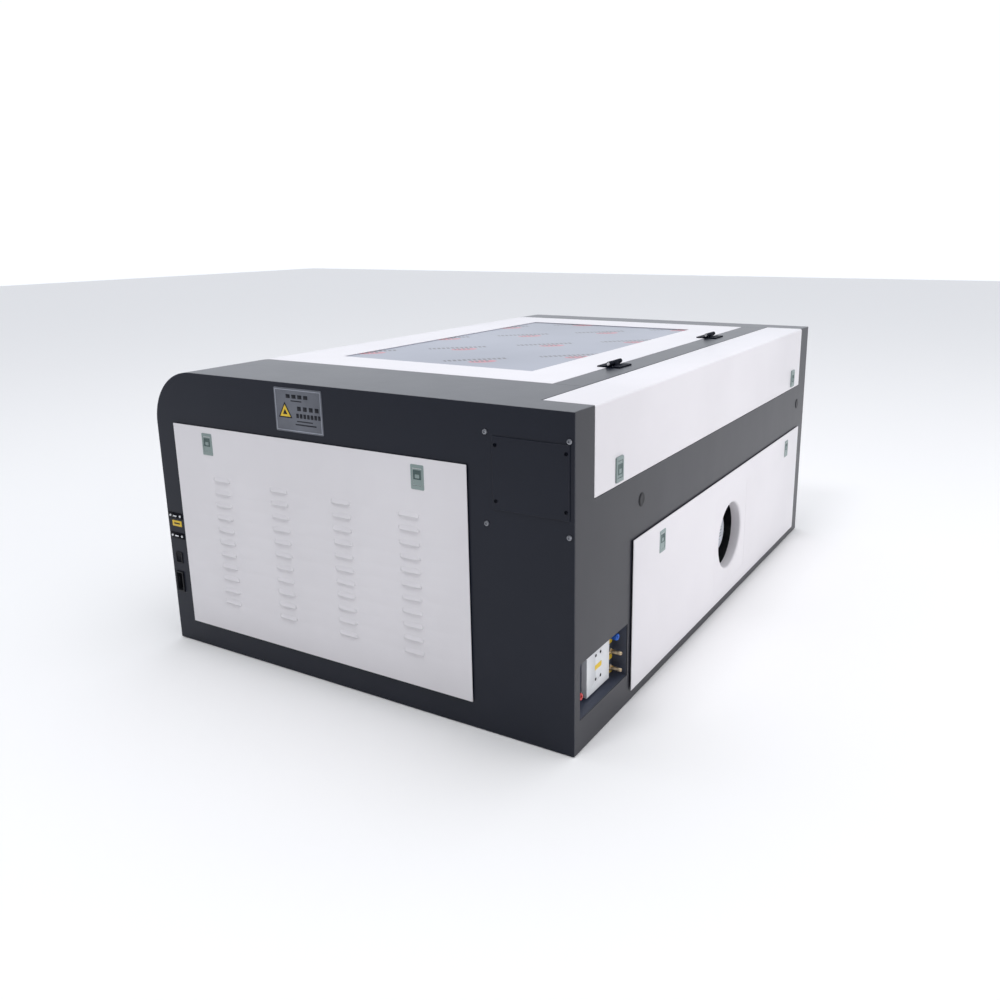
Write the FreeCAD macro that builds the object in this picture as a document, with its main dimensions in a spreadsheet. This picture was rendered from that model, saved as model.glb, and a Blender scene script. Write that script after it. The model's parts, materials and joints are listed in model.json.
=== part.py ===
import FreeCAD, Part
import os
import re
import Sketcher

# Benchtop CO2 laser engraver. Millimetres, +X to the operator's right, -Y towards the operator, +Z up.
# The origin is under the middle of the machine, on the surface that it stands on.

os.makedirs("parts", exist_ok=True)
doc = FreeCAD.newDocument("laser_engraver")

# ---------------------------------------------------------------- driving dimensions

DIMENSIONS = {
    "overall": {
        "width": 1340, "depth": 940, "height": 570, "foot_height": 8, "foot_radius": 22, "foot_inset": 60,
        "wall_gap": 1.5, "skin": 2, "seam": 1,
        "corner_radius": 107, "right_strip": 210, "left_strip": 86,
    },
    "lid": {
        "deck_strip": 62, "cover_depth": 94, "skirt_bottom": 404, "lip_depth": 20,
        "window_left": 118, "window_right": 108, "window_front": 103, "window_rear": 104,
        "window_thick": 5, "window_lap": 14, "handle_length": 180, "handle_reach": 26, "handle_bar": 12,
        "handle_lift": 22,
        "hinge_rise": 7, "hinge_setback": 5, "hinge_right": 220, "hinge_left": 320,
        "leaf_width": 54, "leaf_depth": 20, "leaf_thick": 2.5, "barrel_radius": 4.5, "pin_radius": 2,
    },
    "panels": {
        "panel_thick": 2, "panel_lap": 6, "side_panel_front": 52, "side_panel_rear": 194,
        "side_panel_bottom": 50, "side_panel_top": 468, "rear_panel_left": 54, "rear_panel_right": 212,
        "rear_panel_bottom": 22, "rear_panel_top": 308, "cover_margin": 66, "cover_drop": 148,
        "door_bottom": 262, "door_top": 392, "door_side": 44, "pull_width": 90, "pull_reach": 14,
        "pull_drop": 22, "pull_thick": 8, "side_latch_front": 145, "side_latch_rear": 292,
        "side_latch_drop": 33, "cover_latch_right": 154, "cover_latch_left": 135, "cover_latch_drop": 121,
        "rear_latch_right": 341, "rear_latch_left": 166, "rear_latch_drop": 39, "paddle_sunk": 0.5,
        "latch_width": 27, "latch_height": 43, "latch_proud": 3, "latch_behind": 9,
        "paddle_width": 19, "paddle_height": 28, "paddle_thick": 3, "paddle_gap": 0.6, "paddle_clear": 2.4,
        "louvre_first": 153, "louvre_column": 150, "louvre_row": 25.2, "louvre_low": 111.5,
        "louvre_length": 44, "louvre_rise": 12.5, "louvre_proud": 5, "louvre_wall": 1.2,
    },
    "rear": {
        "duct_x": -72, "duct_z": 160, "duct_radius": 74.7, "collar_depth": 19, "collar_wall": 1.5,
        "flange_side": 222, "flange_thick": 1.5, "fan_side": 172, "fan_thick": 51, "fan_gap": 3.5,
        "fan_bore": 80, "fan_hub": 43, "blade_tip": 76, "blade_thick": 3, "blade_rim": 4, "blade_root": 6,
        "spindle": 4, "spindle_clear": 0.05, "spindle_short": 12, "arm_width": 8, "arm_thick": 4,
        "hub_plate": 5, "rotor_front": 7, "rotor_rear": 6,
        "recess_x": 560, "recess_z": 107, "recess_width": 180, "recess_tall": 99, "recess_depth": 30,
        "socket_side": 86, "socket_thick": 5, "socket_off": 5, "socket_shift": 15,
        "barb_x": 487, "barb_high": 106, "barb_low": 74, "barb_radius": 4, "barb_length": 20,
        "nut_radius": 6.5, "nut_length": 7, "blue_z": 136, "red_x": 626, "red_z": 86,
        "push_radius": 6.5, "push_length": 20, "air_bore": 3, "air_depth": 14,
        "earth_x": 630, "earth_z": 140, "earth_radius": 6.5, "earth_knob": 10, "earth_post": 18,
        "post_radius": 3, "socket_drop": 2, "socket_hole": 2.4, "hole_up": 22, "hole_apart": 9,
        "recess_wall": 1.5, "plug_right": 420, "plug_left": 598, "plug_z": 372,
        "plug_radius": 12.8, "plug_proud": 1.5, "plug_deep": 6, "plug_rim": 1,
    },
    "side": {
        "access_y": 393, "access_z": 460.5, "access_long": 138, "access_tall": 119, "access_lap": 8,
        "screw_y": 386, "screw_z": 450, "screw_square": 150, "screw_radius": 4.5, "screw_head": 2.5,
        "black_radius": 3, "black_head": 2, "black_inset": 6, "black_drop": 14,
        "plate_y": -83, "plate_z": 521.5, "plate_long": 114, "plate_tall": 80, "plate_thick": 1,
        "port_y": -446.5, "port_high": 272, "port_low": 229.6, "port_long": 40, "port_tall": 13,
        "port_thick": 2, "tongue_short": 22, "tongue_low": 5, "rocker_deep": 8, "rocker_proud": 3,
        "rocker_y": -449, "rocker_z": 182, "rocker_long": 13, "rocker_tall": 18, "rocker_gap": 0.6,
        "inlet_y": -453, "inlet_z": 129, "inlet_long": 22, "inlet_tall": 44, "inlet_deep": 24,
        "inlet_wall": 3,
    },
    "inside": {
        "tray_z": 404, "bay_depth": 140, "service_depth": 74, "tube_y": 398, "tube_z": 461,
        "tube_radius": 40, "tube_left": -515, "tube_right": 600, "neck_radius": 14, "neck_length": 45,
        "clamp_width": 30, "clamp_gap": 0.4, "mirror_x": -556, "mirror_side": 34, "beam_hole": 14,
        "rail_z": 415, "rail_width": 24, "rail_tall": 15, "rail_front": 30, "rail_rear": 10,
        "slide_gap": 0.5, "beam_y": 250, "beam_deep": 36, "beam_tall": 40, "carriage_tall": 9,
        "carriage_long": 60, "head_x": 400, "head_width": 60, "head_deep": 48, "head_bottom": 380,
        "head_top": 516, "lens_radius": 12, "lens_clear": 0.05, "lens_bottom": 345, "lens_top": 450,
        "nozzle_radius": 4, "nozzle_length": 22, "bed_x": -62, "bed_y": -70, "bed_width": 900,
        "bed_depth": 600, "bed_top": 320, "bed_thick": 20, "bed_rim": 12, "bed_core": 4,
        "table_tall": 20, "table_bar": 30, "table_overhang": 30, "table_side": 12, "post_inset": 20,
        "screw_post": 6, "screw_post_gap": 0.5, "post_top": 345, "tray_inset": 20, "clamp_inset": 130,
        "clamp_lap": 24, "mirror_lift": 22, "mirror_radius": 13, "mirror_proud": 6, "beam_inset": 8,
        "carriage_inset": 2, "carriage_lap": 4, "lens_stop": 2,
        "supply_gap": 20, "supply_wide": 150, "supply_y": 10, "supply_long": 240, "supply_tall": 160,
        "controller_y": -255, "controller_long": 170, "controller_z": 230, "controller_tall": 220,
        "controller_deep": 40, "motor_y": 268.5, "motor_side": 57, "motor_long": 76, "shaft_long": 20,
        "shaft_radius": 8, "motor_drop": 4,
    },
    "front": {
        "control_inset": 105, "control_z": 376, "control_width": 174, "control_tall": 152,
        "control_thick": 4, "control_lap": 12, "screen_width": 126, "screen_tall": 70,
        "screen_lift": 30, "screen_thick": 1.5, "stop_shift": 48, "knob_drop": 44, "stop_radius": 17,
        "stem_radius": 10, "stem_gap": 0.5, "stop_proud": 20, "stop_head": 9, "stem_deep": 10,
        "key_radius": 9, "key_proud": 6, "key_reach": 20, "key_foot": 5, "key_thick": 3, "key_wide": 14,
    },
}

sheet = doc.addObject("Spreadsheet::Sheet", "Dims")
SIZES = {}
for group_name, group in DIMENSIONS.items():
    for name, value in group.items():
        SIZES[name] = value
        cell_row = len(SIZES)
        sheet.set("A%d" % cell_row, name)
        sheet.set("B%d" % cell_row, str(value))
        sheet.setAlias("B%d" % cell_row, name)
doc.recompute()

WORD = re.compile(r"[a-z][a-z_]*")


def bound(expression):
    """An expression on aliases, written for the document."""
    return WORD.sub(lambda found: "Dims." + found.group(0) if found.group(0) in SIZES else found.group(0),
                    expression)


def worked_out(expression):
    """The number an expression gives now, for the first value of a sketch's constraint."""
    value = sheet.evalExpression(bound(expression).replace("Dims.", ""))
    return float(getattr(value, "Value", value))


# ---------------------------------------------------------------- makers

def less(low, high):
    return "(%s) - (%s)" % (high, low)


def place(item, where):
    for letter, expression in zip("xyz", where):
        item.setExpression("Placement.Base." + letter, bound(expression))


def slab(x, y, z):
    """A block between a low and a high value on each axis."""
    item = doc.addObject("Part::Box", "Block")
    for side, (low, high) in zip(("Length", "Width", "Height"), (x, y, z)):
        item.setExpression(side, bound(less(low, high)))
    place(item, (x[0], y[0], z[0]))
    return item


TURN = {
    "X": FreeCAD.Rotation(FreeCAD.Vector(0, 0, 1), FreeCAD.Vector(0, -1, 0), FreeCAD.Vector(1, 0, 0), "ZXY"),
    "Y": FreeCAD.Rotation(FreeCAD.Vector(1, 0, 0), -90),
    "Z": FreeCAD.Rotation(),
}


def rod(axis, centre, span, radius, sweep=360):
    """A cylinder along an axis. Along X a quarter of it fills the corner from +Z round to -Y."""
    item = doc.addObject("Part::Cylinder", "Rod")
    item.Angle = sweep
    item.Placement = FreeCAD.Placement(FreeCAD.Vector(), TURN[axis])
    item.setExpression("Radius", bound(radius))
    item.setExpression("Height", bound(less(*span)))
    where = {"X": (span[0], centre[0], centre[1]), "Y": (centre[0], span[0], centre[1]),
             "Z": (centre[0], centre[1], span[0])}
    place(item, where[axis])
    return item


def joined(*items):
    if len(items) == 1:
        return items[0]
    item = doc.addObject("Part::MultiFuse", "Joined")
    item.Shapes = list(items)
    return item


def cut(base, *tools):
    item = doc.addObject("Part::Cut", "Trimmed")
    item.Base = base
    item.Tool = joined(*tools)
    return item


def mirrored(source):
    """The same piece on the other side of the machine's middle plane."""
    item = doc.addObject("Part::Mirroring", "Mirrored")
    item.Source = source
    item.Normal = FreeCAD.Vector(1, 0, 0)
    return item


NODES = []


def node(name, item):
    item.Label = name
    NODES.append(item)
    return item


def group(name, *items):
    """Several separate solids that share one node."""
    item = doc.addObject("Part::Compound", "Group")
    item.Links = list(items)
    return node(name, item)


def origin_plane(body, role):
    return [plane for plane in body.Origin.OriginFeatures if plane.Role == role][0]


def profile(body, role, points, corner=None):
    """A closed sketch through points. The corner is (index, radius): that side is an arc, not a line."""
    sketch = body.newObject("Sketcher::SketchObject", "Profile")
    sketch.AttachmentSupport = [(origin_plane(body, role), "")]
    sketch.MapMode = "FlatFace"
    spots = [FreeCAD.Vector(worked_out(across), worked_out(up), 0) for across, up in points]
    count = len(points)
    for index, spot in enumerate(spots):
        far = spots[(index + 1) % count]
        if corner and corner[0] == index:
            centre = FreeCAD.Vector(spot.x, far.y, 0)
            middle = centre + FreeCAD.Vector(-1, 1, 0).normalize() * worked_out(corner[1])
            sketch.addGeometry(Part.Arc(spot, middle, far), False)
        else:
            sketch.addGeometry(Part.LineSegment(spot, far), False)
    start, end = 1, 2
    for index in range(count):
        sketch.addConstraint(Sketcher.Constraint("Coincident", index, end, (index + 1) % count, start))
        across, up = points[index]
        for kind, axis, expression in (("DistanceX", -2, across), ("DistanceY", -1, up)):
            if expression == "0":
                sketch.addConstraint(Sketcher.Constraint("PointOnObject", index, start, axis))
                continue
            datum = sketch.addConstraint(
                Sketcher.Constraint(kind, -1, 1, index, start, worked_out(expression)))
            sketch.setExpression("Constraints[%d]" % datum, bound(expression))
    if corner:
        datum = sketch.addConstraint(Sketcher.Constraint("Radius", corner[0], worked_out(corner[1])))
        sketch.setExpression("Constraints[%d]" % datum, bound(corner[1]))
    return sketch


def padded(role, points, length, where, corner=None):
    """A body whose sketched outline is given a thickness."""
    body = doc.addObject("PartDesign::Body", "Body")
    sketch = profile(body, role, points, corner)
    pad = body.newObject("PartDesign::Pad", "Pad")
    pad.Profile = sketch
    pad.setExpression("Length", bound(length))
    place(body, where)
    return body


def turned(role, points, axis, where):
    """A body whose sketched half section is turned once round a sketch axis."""
    body = doc.addObject("PartDesign::Body", "Body")
    sketch = profile(body, role, points)
    revolution = body.newObject("PartDesign::Revolution", "Revolution")
    revolution.Profile = sketch
    revolution.ReferenceAxis = (sketch, [axis])
    revolution.Angle = 360
    place(body, where)
    return body


# ---------------------------------------------------------------- shared places

RIGHT, LEFT = "(width/2)", "(-width/2)"
REAR, FRONT = "(depth/2)", "(-depth/2)"
INNER_RIGHT, INNER_LEFT = "(width/2 - skin)", "(-width/2 + skin)"
INNER_REAR, INNER_FRONT = "(depth/2 - skin)", "(-depth/2 + skin)"
FLOOR = "(foot_height + skin)"
UNDER_TOP = "(height - skin)"
LID_RIGHT, LID_LEFT = "(width/2 - right_strip)", "(-width/2 + left_strip)"
COVER_FRONT = "(depth/2 - cover_depth)"
LID_REAR = "(depth/2 - cover_depth - deck_strip)"
BEND_Y, BEND_Z = "(-depth/2 + corner_radius)", "(height - corner_radius)"
INNER_BEND = "(corner_radius - skin)"
CHAMBER_RIGHT = "(width/2 - right_strip + skin)"
CHAMBER_LEFT = "(-width/2 + left_strip - skin)"
BAY_FRONT = "(depth/2 - bay_depth)"
COVER_SIDE = "(width/2 - cover_margin)"
HINGE_Y = "(depth/2 - cover_depth - deck_strip + hinge_setback)"
HINGE_Z = "(height + hinge_rise)"
CONTROL_X = "(width/2 - control_inset)"
SIDE_FRONT, SIDE_REAR = "(-depth/2 + side_panel_front)", "(depth/2 - side_panel_rear)"


def grown(low, high, by):
    return ("%s - (%s)" % (low, by), "%s + (%s)" % (high, by))


def about(middle, size):
    return ("%s - (%s)/2" % (middle, size), "%s + (%s)/2" % (middle, size))


# ---------------------------------------------------------------- shell

def side_wall():
    """The wall with its rounded front top corner and the opening behind the louvred panel."""
    outline = [(FRONT, "wall_gap"), (REAR, "wall_gap"), (REAR, "height"), (BEND_Y, "height"), (FRONT, BEND_Z)]
    wall = padded("YZ_Plane", outline, "skin", (INNER_RIGHT, "0", "0"), corner=(3, "corner_radius"))
    through = (INNER_RIGHT + " - 1", RIGHT + " + 1")
    opening = slab(through, grown(SIDE_FRONT, SIDE_REAR, "-panel_lap"),
                   grown("side_panel_bottom", "side_panel_top", "-panel_lap"))
    return cut(wall, opening)


right_wall = side_wall()
through_right = (INNER_RIGHT + " - 1", RIGHT + " + 1")
tube_end = slab(through_right, about("access_y", "access_long - 2*access_lap"),
                about("access_z", "access_tall - 2*access_lap"))
rocker_hole = slab(through_right, about("rocker_y", "rocker_long + 2*rocker_gap"),
                   about("rocker_z", "rocker_tall + 2*rocker_gap"))
inlet_hole = slab(through_right, about("inlet_y", "inlet_long"), about("inlet_z", "inlet_tall"))
node("right_side_wall", cut(right_wall, tube_end, rocker_hole, inlet_hole))
node("left_side_wall", mirrored(side_wall()))

node("base_pan", slab((INNER_LEFT, INNER_RIGHT), (INNER_FRONT, INNER_REAR), ("foot_height", FLOOR)))

feet = [rod("Z", ("0", "0"), ("0", "foot_height"), "foot_radius")]
for across in ("-width/2 + foot_inset", "0", "width/2 - foot_inset"):
    for along in ("-depth/2 + foot_inset", "depth/2 - foot_inset"):
        feet.append(rod("Z", (across, along), ("0", "foot_height"), "foot_radius"))
group("rubber_feet", *feet)

# The rear wall stops below the tube cover, and has openings for the panel and the connector recess.
rear_sheet = slab((INNER_LEFT, INNER_RIGHT), (INNER_REAR, REAR), ("wall_gap", "height"))
through_rear = (INNER_REAR + " - 1", REAR + " + 1")
cover_notch = slab(grown("-" + COVER_SIDE, COVER_SIDE, "seam"), through_rear,
                   ("height - cover_drop - seam", "height + 1"))
PANEL_X = (LEFT + " + rear_panel_left", RIGHT + " - rear_panel_right")
rear_opening = slab(grown(PANEL_X[0], PANEL_X[1], "-panel_lap"), through_rear,
                    grown("rear_panel_bottom", "rear_panel_top", "-panel_lap"))
recess_mouth = slab(about("recess_x", "recess_width"), through_rear, about("recess_z", "recess_tall"))
plug_holes = [rod("Y", (across, "plug_z"), through_rear, "plug_radius - plug_rim")
              for across in ("plug_right", "-plug_left")]
node("rear_wall", cut(rear_sheet, cover_notch, rear_opening, recess_mouth, *plug_holes))

plugs = []
for across in ("plug_right", "-plug_left"):
    head = rod("Y", (across, "plug_z"), (REAR, REAR + " + plug_proud"), "plug_radius")
    shank = rod("Y", (across, "plug_z"), (REAR + " - plug_deep", REAR), "plug_radius - plug_rim")
    plugs.append(joined(head, shank))
group("hole_plugs", *plugs)

DOOR_X = (LID_LEFT + " + door_side", LID_RIGHT + " - door_side")
through_front = (FRONT + " - 1", INNER_FRONT + " + 1")
front_sheet = slab((INNER_LEFT, INNER_RIGHT), (FRONT, INNER_FRONT), ("wall_gap", BEND_Z))
lid_notch = slab((LID_LEFT, LID_RIGHT), through_front, ("skirt_bottom - seam", BEND_Z + " + 1"))
door_opening = slab(grown(DOOR_X[0], DOOR_X[1], "-panel_lap"), through_front,
                    grown("door_bottom", "door_top", "-panel_lap"))
control_opening = slab(about(CONTROL_X, "control_width - 2*control_lap"), through_front,
                       about("control_z", "control_tall - 2*control_lap"))
node("front_wall", cut(front_sheet, lid_notch, door_opening, control_opening))


def shroud(name, x, corner_x):
    """A strip of the deck that bends down at the front. It also fills the corner beside the cover."""
    deck = slab(x, (BEND_Y, COVER_FRONT + " - seam"), (UNDER_TOP, "height"))
    corner = slab(corner_x, (COVER_FRONT + " - seam", INNER_REAR), (UNDER_TOP, "height"))
    bend = cut(rod("X", (BEND_Y, BEND_Z), x, "corner_radius", 90),
               rod("X", (BEND_Y, BEND_Z), (x[0] + " - 1", x[1] + " + 1"), INNER_BEND, 90))
    return node(name, joined(deck, corner, bend))


shroud("right_shroud", (LID_RIGHT, INNER_RIGHT), (COVER_SIDE + " + seam", INNER_RIGHT))
shroud("left_shroud", (INNER_LEFT, LID_LEFT), (INNER_LEFT, "-%s - seam" % COVER_SIDE))
node("rear_deck", slab((LID_LEFT, LID_RIGHT), (LID_REAR + " + seam", COVER_FRONT + " - seam"),
                       (UNDER_TOP, "height")))

# ---------------------------------------------------------------- inner walls


def chamber_wall(x):
    """A side wall of the work chamber, stepped where the lid bends down."""
    lower = slab(x, (INNER_FRONT + " + 2", BAY_FRONT), (FLOOR, BEND_Z + " - 20"))
    upper = slab(x, (BEND_Y + " - corner_radius/3", BAY_FRONT), (BEND_Z + " - 20", UNDER_TOP + " - 8"))
    return joined(lower, upper)


group("chamber_walls", chamber_wall((CHAMBER_RIGHT, CHAMBER_RIGHT + " + skin")),
      chamber_wall((CHAMBER_LEFT + " - skin", CHAMBER_LEFT)))

SERVICE = "(depth/2 - service_depth)"
tray_x = (INNER_LEFT + " + tray_inset", INNER_RIGHT + " - tray_inset")
tray_floor = slab(tray_x, (BAY_FRONT, INNER_REAR), ("tray_z", "tray_z + skin"))
tray_front = slab(tray_x, (BAY_FRONT, BAY_FRONT + " + skin"), ("tray_z + skin", UNDER_TOP))
beam_window = rod("Y", ("mirror_x", "tube_z"), (BAY_FRONT + " - 1", BAY_FRONT + " + skin + 1"),
                  "beam_hole")
node("tube_bay_tray", cut(joined(tray_floor, tray_front), beam_window))

back_sheet = slab((CHAMBER_LEFT, CHAMBER_RIGHT), (SERVICE + " - skin", SERVICE), (FLOOR, "tray_z"))
back_hole = rod("Y", ("duct_x", "duct_z"), (SERVICE + " - skin - 1", SERVICE + " + 1"), "duct_radius")
node("chamber_rear_wall", cut(back_sheet, back_hole))

# ---------------------------------------------------------------- latches and louvred panels


def paddle_room(middle_z):
    """The height that a paddle needs, with more room above it than below."""
    return (middle_z + " - paddle_height/2 - paddle_gap", middle_z + " + paddle_height/2 + paddle_clear")


def side_latch(middle_y, middle_z):
    """A flush latch's housing on the right panel, and the window that its paddle swings in."""
    x = (RIGHT + " - latch_behind", RIGHT + " + panel_thick + latch_proud")
    housing = slab(x, about(middle_y, "latch_width"), about(middle_z, "latch_height"))
    window = slab((RIGHT + " - latch_behind + 2", x[1] + " + 1"),
                  about(middle_y, "paddle_width + 2*paddle_gap"), paddle_room(middle_z))
    return housing, window


def side_paddle(middle_y, middle_z):
    """The paddle of a side latch, a little below its housing's face."""
    face = RIGHT + " + panel_thick + latch_proud - paddle_sunk"
    return slab((face + " - paddle_thick", face), about(middle_y, "paddle_width"),
                about(middle_z, "paddle_height"))


SIDE_LATCH_Z = "(side_panel_top - side_latch_drop)"
SIDE_LATCHES = [("(-depth/2 + side_latch_front)", SIDE_LATCH_Z),
                ("(depth/2 - side_latch_rear)", SIDE_LATCH_Z)]
LOUVRE_COLUMNS, LOUVRE_ROWS = 4, 11


def wedge_hood(y_low, z_low, inset):
    """A pressed louvre: flush with the sheet at its top and standing out at its open foot."""
    item = doc.addObject("Part::Wedge", "Louvre")
    sizes = {"Xmin": "0", "Xmax": "louvre_proud + 1 - %s" % inset, "X2min": "0", "X2max": "1",
             "Ymin": "-%s" % inset, "Ymax": "louvre_rise - %s" % inset,
             "Zmin": "0", "Zmax": "louvre_length - 2*%s" % inset,
             "Z2min": "0", "Z2max": "louvre_length - 2*%s" % inset}
    for key, expression in sizes.items():
        item.setExpression(key, bound(expression))
    turn = FreeCAD.Rotation(FreeCAD.Vector(1, 0, 0), FreeCAD.Vector(0, 0, 1), FreeCAD.Vector(0, -1, 0),
                            "ZXY")
    item.Placement = FreeCAD.Placement(FreeCAD.Vector(), turn)
    place(item, (RIGHT + " + panel_thick - 1", "%s + louvre_length - %s" % (y_low, inset), z_low))
    return item


def louvred_panel():
    """The right panel: a sheet with its louvres and latch housings."""
    sheet_x = (RIGHT, RIGHT + " + panel_thick")
    solid = [slab(sheet_x, (SIDE_FRONT, SIDE_REAR), ("side_panel_bottom", "side_panel_top"))]
    hollow = []
    for middle_y, middle_z in SIDE_LATCHES:
        housing, window = side_latch(middle_y, middle_z)
        solid.append(housing)
        hollow.append(window)
    for column in range(LOUVRE_COLUMNS):
        y_low = "(-depth/2 + louvre_first + louvre_column*%d)" % column
        for row in range(LOUVRE_ROWS):
            z_low = "(louvre_low + louvre_row*%d)" % row
            solid.append(wedge_hood(y_low, z_low, "0"))
            hollow.append(wedge_hood(y_low, z_low, "louvre_wall"))
            hollow.append(slab((RIGHT + " - 1", RIGHT + " + panel_thick - 1"),
                               (y_low + " + louvre_wall", y_low + " + louvre_length - louvre_wall"),
                               (z_low + " - louvre_wall", z_low + " + louvre_rise/2")))
    return cut(joined(*solid), *hollow)


right_panel = node("right_panel", louvred_panel())
node("left_panel", mirrored(right_panel))
right_paddles = group("right_latches", *[side_paddle(*spot) for spot in SIDE_LATCHES])
node("left_latches", mirrored(right_paddles))


def rear_latch(middle_x, middle_z, face):
    """A latch's housing on a rear face, and the window that its paddle swings in."""
    y = (face + " - panel_thick - latch_behind", face + " + latch_proud")
    housing = slab(about(middle_x, "latch_width"), y, about(middle_z, "latch_height"))
    window = slab(about(middle_x, "paddle_width + 2*paddle_gap"), (y[0] + " + 2", y[1] + " + 1"),
                  paddle_room(middle_z))
    return housing, window


def rear_paddle(middle_x, middle_z, face):
    """The paddle of a rear latch, a little below its housing's face."""
    y = (face + " + latch_proud - paddle_sunk - paddle_thick", face + " + latch_proud - paddle_sunk")
    return slab(about(middle_x, "paddle_width"), y, about(middle_z, "paddle_height"))


# ---------------------------------------------------------------- tube cover and rear panel

COVER_LATCHES = [("(width/2 - cover_latch_right)", "(height - cover_latch_drop)"),
                 ("(-width/2 + cover_latch_left)", "(height - cover_latch_drop)")]
PANEL_LATCHES = [("(width/2 - rear_latch_right)", "(rear_panel_top - rear_latch_drop)"),
                 ("(-width/2 + rear_latch_left)", "(rear_panel_top - rear_latch_drop)")]
PANEL_FACE = "(depth/2 + panel_thick)"

cover_x = ("-" + COVER_SIDE, COVER_SIDE)
cover_solid = [slab(cover_x, (COVER_FRONT + " + seam", REAR), (UNDER_TOP, "height")),
               slab(cover_x, (INNER_REAR, REAR), ("height - cover_drop", "height"))]
for low in ("-" + COVER_SIDE, COVER_SIDE + " - skin"):
    lip_x = (low, low + " + skin")
    cover_solid.append(slab(lip_x, (COVER_FRONT + " + 6", REAR), (UNDER_TOP + " - lip_depth", "height")))
    cover_solid.append(slab(lip_x, (REAR + " - lip_depth", REAR), ("height - cover_drop", "height")))
cover_hollow = []
for spot in COVER_LATCHES:
    housing, window = rear_latch(spot[0], spot[1], REAR)
    cover_solid.append(housing)
    cover_hollow.append(window)
node("tube_cover", cut(joined(*cover_solid), *cover_hollow))
group("cover_latches", *[rear_paddle(spot[0], spot[1], REAR) for spot in COVER_LATCHES])

panel_y = (REAR, PANEL_FACE)
panel_solid = [slab(PANEL_X, panel_y, ("rear_panel_bottom", "rear_panel_top")),
               slab(about("duct_x", "flange_side"), (REAR, PANEL_FACE + " + flange_thick"),
                    about("duct_z", "flange_side")),
               rod("Y", ("duct_x", "duct_z"), (REAR + " - collar_depth", REAR), "duct_radius + collar_wall")]
panel_hollow = [rod("Y", ("duct_x", "duct_z"),
                    (REAR + " - collar_depth - 1", PANEL_FACE + " + flange_thick + 1"), "duct_radius")]
for spot in PANEL_LATCHES:
    housing, window = rear_latch(spot[0], spot[1], PANEL_FACE)
    panel_solid.append(housing)
    panel_hollow.append(window)
node("rear_panel", cut(joined(*panel_solid), *panel_hollow))
group("rear_latches", *[rear_paddle(spot[0], spot[1], PANEL_FACE) for spot in PANEL_LATCHES])

# ---------------------------------------------------------------- extraction fan

FAN_FRONT = "(depth/2 - service_depth + fan_gap)"
FAN_REAR = "(depth/2 - service_depth + fan_gap + fan_thick)"
fan_centre = ("duct_x", "duct_z")
housing = cut(slab(about("duct_x", "fan_side"), (FAN_FRONT, FAN_REAR), about("duct_z", "fan_side")),
              rod("Y", fan_centre, (FAN_FRONT + " - 1", FAN_REAR + " + 1"), "fan_bore"))
arm_y = (FAN_FRONT, FAN_FRONT + " + arm_thick")
arms = [slab(about("duct_x", "2*fan_bore + 2"), arm_y, about("duct_z", "arm_width")),
        slab(about("duct_x", "arm_width"), arm_y, about("duct_z", "2*fan_bore + 2"))]
hub_plate = rod("Y", fan_centre, (FAN_FRONT, FAN_FRONT + " + hub_plate"), "fan_hub")
spindle = rod("Y", fan_centre, (FAN_FRONT, FAN_REAR + " - spindle_short"), "spindle")
node("fan_frame", joined(housing, *arms, hub_plate, spindle))

ROTOR = (FAN_FRONT + " + rotor_front", FAN_REAR + " - rotor_rear")
BLADE_COUNT = 7
BLADE_FOOT = "(fan_hub - blade_root)"
blades = []
for index in range(BLADE_COUNT):
    turn_by = 360.0 / BLADE_COUNT * index
    blade = doc.addObject("Part::Box", "Blade")
    blade.setExpression("Length", bound("blade_tip - " + BLADE_FOOT))
    blade.setExpression("Width", bound(less(*ROTOR) + " - 2*blade_rim"))
    blade.setExpression("Height", bound("blade_thick"))
    blade.Placement.Rotation = FreeCAD.Rotation(FreeCAD.Vector(0, 1, 0), turn_by)
    place(blade, ("duct_x + %s*cos(%g)" % (BLADE_FOOT, turn_by), ROTOR[0] + " + blade_rim",
                  "duct_z - %s*sin(%g)" % (BLADE_FOOT, turn_by)))
    blades.append(blade)
hub = rod("Y", fan_centre, ROTOR, "fan_hub")
bore = rod("Y", fan_centre, (ROTOR[0] + " - 1", FAN_REAR + " - spindle_short + 1"),
           "spindle + spindle_clear")
node("fan_rotor", cut(joined(hub, *blades), bore))

# ---------------------------------------------------------------- connector recess

RECESS_BACK = "(depth/2 - recess_depth)"
recess_x = about("recess_x", "recess_width")
recess_z = about("recess_z", "recess_tall")
recess_box = slab(grown(recess_x[0], recess_x[1], "recess_wall"), (RECESS_BACK + " - skin", INNER_REAR),
                  grown(recess_z[0], recess_z[1], "recess_wall"))
node("connector_recess", cut(recess_box, slab(recess_x, (RECESS_BACK, REAR + " + 1"), recess_z)))

socket_x, socket_z = "(recess_x - socket_shift)", "(recess_z - socket_drop)"
SOCKET_FACE = RECESS_BACK + " + socket_off + socket_thick"
socket = slab(about(socket_x, "socket_side"), (RECESS_BACK, SOCKET_FACE), about(socket_z, "socket_side"))
pin_holes = []
for up in (" + hole_up", " - hole_up"):
    for across in (" - hole_apart", " + hole_apart"):
        pin_holes.append(rod("Y", (socket_x + across, socket_z + up),
                             (RECESS_BACK + " + 2", SOCKET_FACE + " + 1"), "socket_hole"))
node("socket_plate", cut(socket, *pin_holes))

barbs = []
for up in ("barb_high", "barb_low"):
    nut = rod("Y", ("barb_x", up), (RECESS_BACK, RECESS_BACK + " + nut_length"), "nut_radius")
    stem = rod("Y", ("barb_x", up), (RECESS_BACK, RECESS_BACK + " + nut_length + barb_length"), "barb_radius")
    barbs.append(joined(nut, stem))
group("water_barbs", *barbs)


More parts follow.
